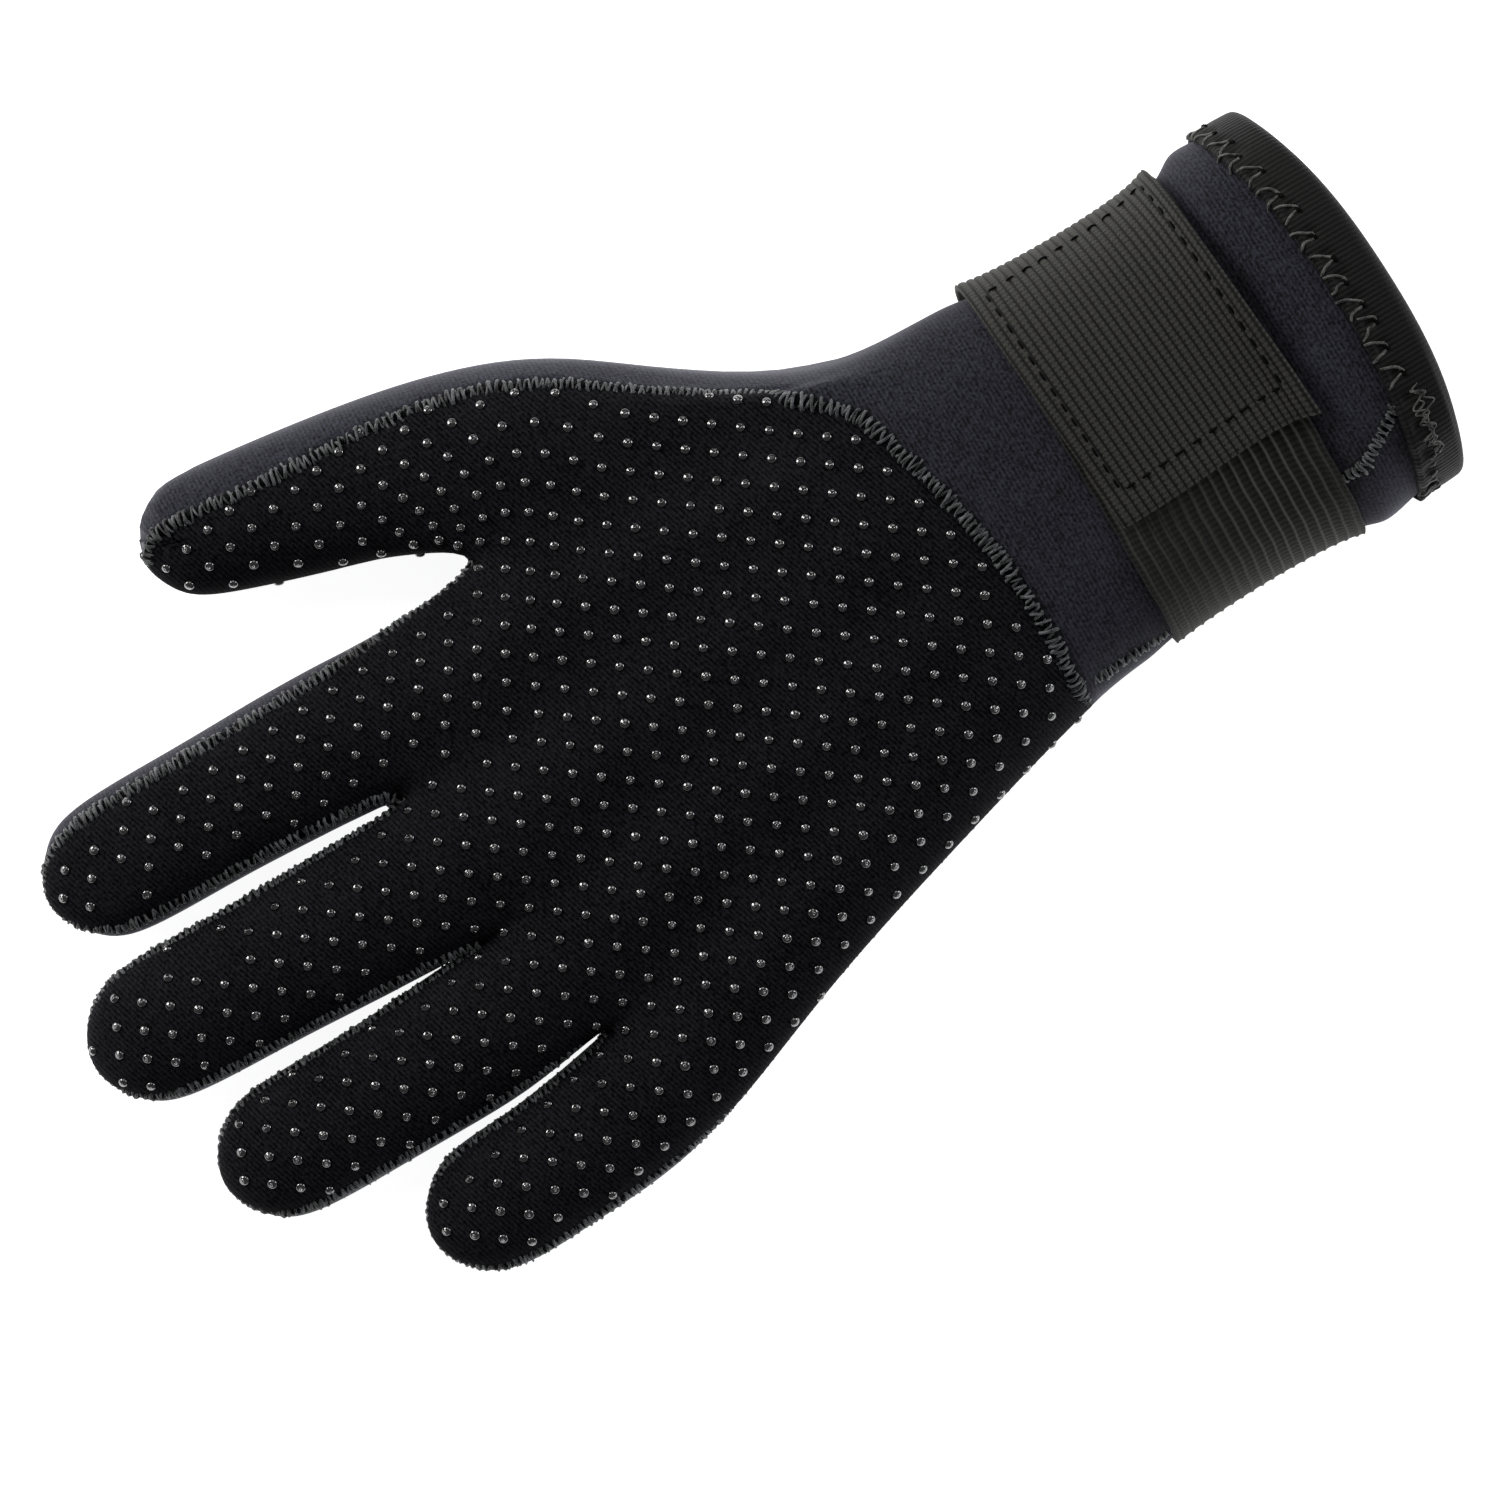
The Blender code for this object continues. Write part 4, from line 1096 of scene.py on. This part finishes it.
stitch = {
    "radius": 0.26 * mm,
    "boxInset": 6.0 * mm,       # from the tab's free end and from the thumb's side
    "boxSide": 3.2 * mm,        # from the tab's long edges
    "boxPitch": 3.5 * mm,
    "boxLength": 2.0 * mm,
    "boxProud": 0.05 * mm,      # over the webbing
    "boxSink": 0.6 * mm,        # how deep a stitch's ends go in
    "hookRadius": 0.26 * mm,
    "hookStray": 0.22 * mm,     # unevenness of a hook's points
    "hookShift": 0.3 * mm,      # and of its place
    "holeShadeRadius": 0.45 * mm,
    "points": 14,
}
join = {
    "clear": 8 * mm,            # kept free of hooks to each side of the join's sewing
    "strands": 3,
    "turns": 15,
    "step": 1.0 * mm,           # from turn to turn
    "shift": 1.2 * mm,          # of a whole strand
    "stray": 0.5 * mm,          # unevenness of its points
    "edge": 0.6 * mm,           # kept clear at the mouth's edge
    "stitches": 8,              # small stitches beyond the sewing
    "stitchStep": 2.3 * mm,
    "stitchSize": (0.4 * mm, 1.3 * mm),         # along the edge and across the tape
    "stitchInset": 3.4 * mm,
    "stitchStray": 0.35 * mm,
}


# the stitches along a straight line on the unrolled tab, as (t, w) points of each
def stitchRun(start, end):
    start, end = np.array(start), np.array(end)
    length = np.linalg.norm(end - start)
    way = (end - start) / length
    count = round(length / stitch["boxPitch"])
    centres = (np.arange(count) + 0.5 + rng.uniform(-0.06, 0.06, count)) / count * length
    along = np.linspace(-0.5, 0.5, stitch["points"]) * stitch["boxLength"]
    return start + (centres[:, None] + along[None])[..., None] * way


def makeBoxStitch():
    near, far = stitch["boxInset"], tabReach - stitch["boxInset"]
    edge = tab["width"] / 2 - stitch["boxSide"]
    runs = [stitchRun(a, b) for a, b in (((near, -edge), (near, edge)), ((near, edge), (far, edge)),
                                         ((far, edge), (far, -edge)), ((far, -edge), (near, -edge)))]
    flat = np.concatenate(runs)
    s, y = tabPlace(flat[..., 0], flat[..., 1])
    stand = tabStand(flat[..., 0], flat[..., 1])
    rise = np.linspace(-1, 1, stitch["points"]) ** 4
    line = onSleeve(s, y, tabBase + tab["thickness"] + stand + stitch["boxProud"] - stitch["boxSink"] * rise)
    threadPiece("boxStitch", line, onSleeve(s, y, 1.0) - line, stitch["radius"], 6, blackThreadAndShade, "seam_thread")


makeBoxStitch()


# a hook stitch in (s, a): out from the tape's inner edge, round, and back to it further on
hookShape = np.array([(-1.3, 0.1), (-1.1, 1.2), (-0.7, 2.4), (0.1, 3.5), (0.9, 3.7), (1.3, 2.8), (1.2, 1.7),
                      (1.7, 0.7), (2.3, 0.0)]) * mm


# smooth strands through given (s, a) points, laid on the tape; sink is how deep the two ends go
def tapeStrands(flat, count, sink):
    spots = np.linspace(0, flat.shape[1] - 1, count)
    steps = np.arange(flat.shape[1])
    fine = np.stack([[np.interp(spots, steps, row[:, k]) for k in (0, 1)] for row in flat]).transpose(0, 2, 1)
    fine = np.stack([smoothed(row, count // 5, False) for row in fine])
    s, a = fine[..., 0], fine[..., 1]
    lift = tapeLift(s, a)[0] + tapePuff(a)
    inside = ease(a, binding["width"] - 0.1 * mm, binding["width"] + 0.6 * mm)
    top = (sleeve["gap"] + binding["thickness"] + lift) * (1 - inside) + 0.05 * mm * inside
    ends = np.abs(np.linspace(-1, 1, count)) ** 8
    line = onMouth(s, a, top + 0.12 * mm - sink * ends)
    return line, onMouth(s, a, 1.0) - line


def makeHooks():
    far = bindingStitches[np.abs(bindingStitches - joinPlace - 2 * mm) > join["clear"]]
    flat = np.stack(np.broadcast_arrays(far[:, None] + hookShape[None, :, 0],
                                        binding["width"] - hookShape[None, :, 1]), axis=-1)
    flat = flat + rng.normal(0, stitch["hookStray"], flat.shape) \
        + rng.normal(0, stitch["hookShift"], (len(far), 1, 2))
    line, up = tapeStrands(flat, 36, 0.5 * mm)
    threadPiece("bindingHooks", line, up, stitch["hookRadius"], 6, lightThread, "light_thread")
    # painted shade: short near-black tubes at the far turn of each hook stand for the shaded stitch hole there
    along = np.linspace(-0.5, 0.5, 5)[None, :, None]
    turn = flat[:, 4:5] + along * np.array([0.9, -0.3]) * mm + np.array([0, 0.3]) * mm
    line, up = tapeStrands(turn, 10, 0.1 * mm)
    threadPiece("hookHoleShade", line, up, stitch["holeShadeRadius"], 6, blackThreadAndShade, "seam_thread")


# the sewing over the lapped join: strands that wander to and fro across the tape, and small stitches beyond
def makeJoin():
    strands, count = join["strands"], join["turns"]
    turns = np.arange(count)
    across = np.where(turns % 2 == 0, 0.25, 0.95) * (binding["width"] - join["edge"])
    flat = []
    for _ in range(strands):
        s = joinPlace + (turns - count // 2) * join["step"] + rng.uniform(-1, 1) * join["shift"]
        flat.append(np.stack([s, across * rng.uniform(0.55, 1.0, count) + join["edge"]], axis=1))
    flat = np.array(flat) + rng.normal(0, join["stray"], (strands, count, 2))
    line, up = tapeStrands(flat, 110, 0.5 * mm)
    threadPiece("joinSewing", line, up, stitch["hookRadius"] * 0.7, 5, lightThread, "light_thread")
    places = joinPlace + (3 + np.arange(join["stitches"])) * join["stitchStep"]
    lengths, (wide, deep) = np.linspace(-0.5, 0.5, 5), join["stitchSize"]
    inward = binding["width"] - join["stitchInset"] + deep * lengths[None]
    flat = np.stack([places[:, None] + wide * lengths,
                     inward + rng.normal(0, join["stitchStray"], (join["stitches"], 1))], axis=-1)
    line, up = tapeStrands(flat, 12, 0.4 * mm)
    threadPiece("joinStitches", line, up, stitch["hookRadius"], 6, lightThread, "light_thread")


makeHooks()
makeJoin()

finishPiece(palmSkin, palmJersey, "palm_knit", "palm_panel")
finishPiece(backSkin, backJersey, "back_knit", "back_panel")
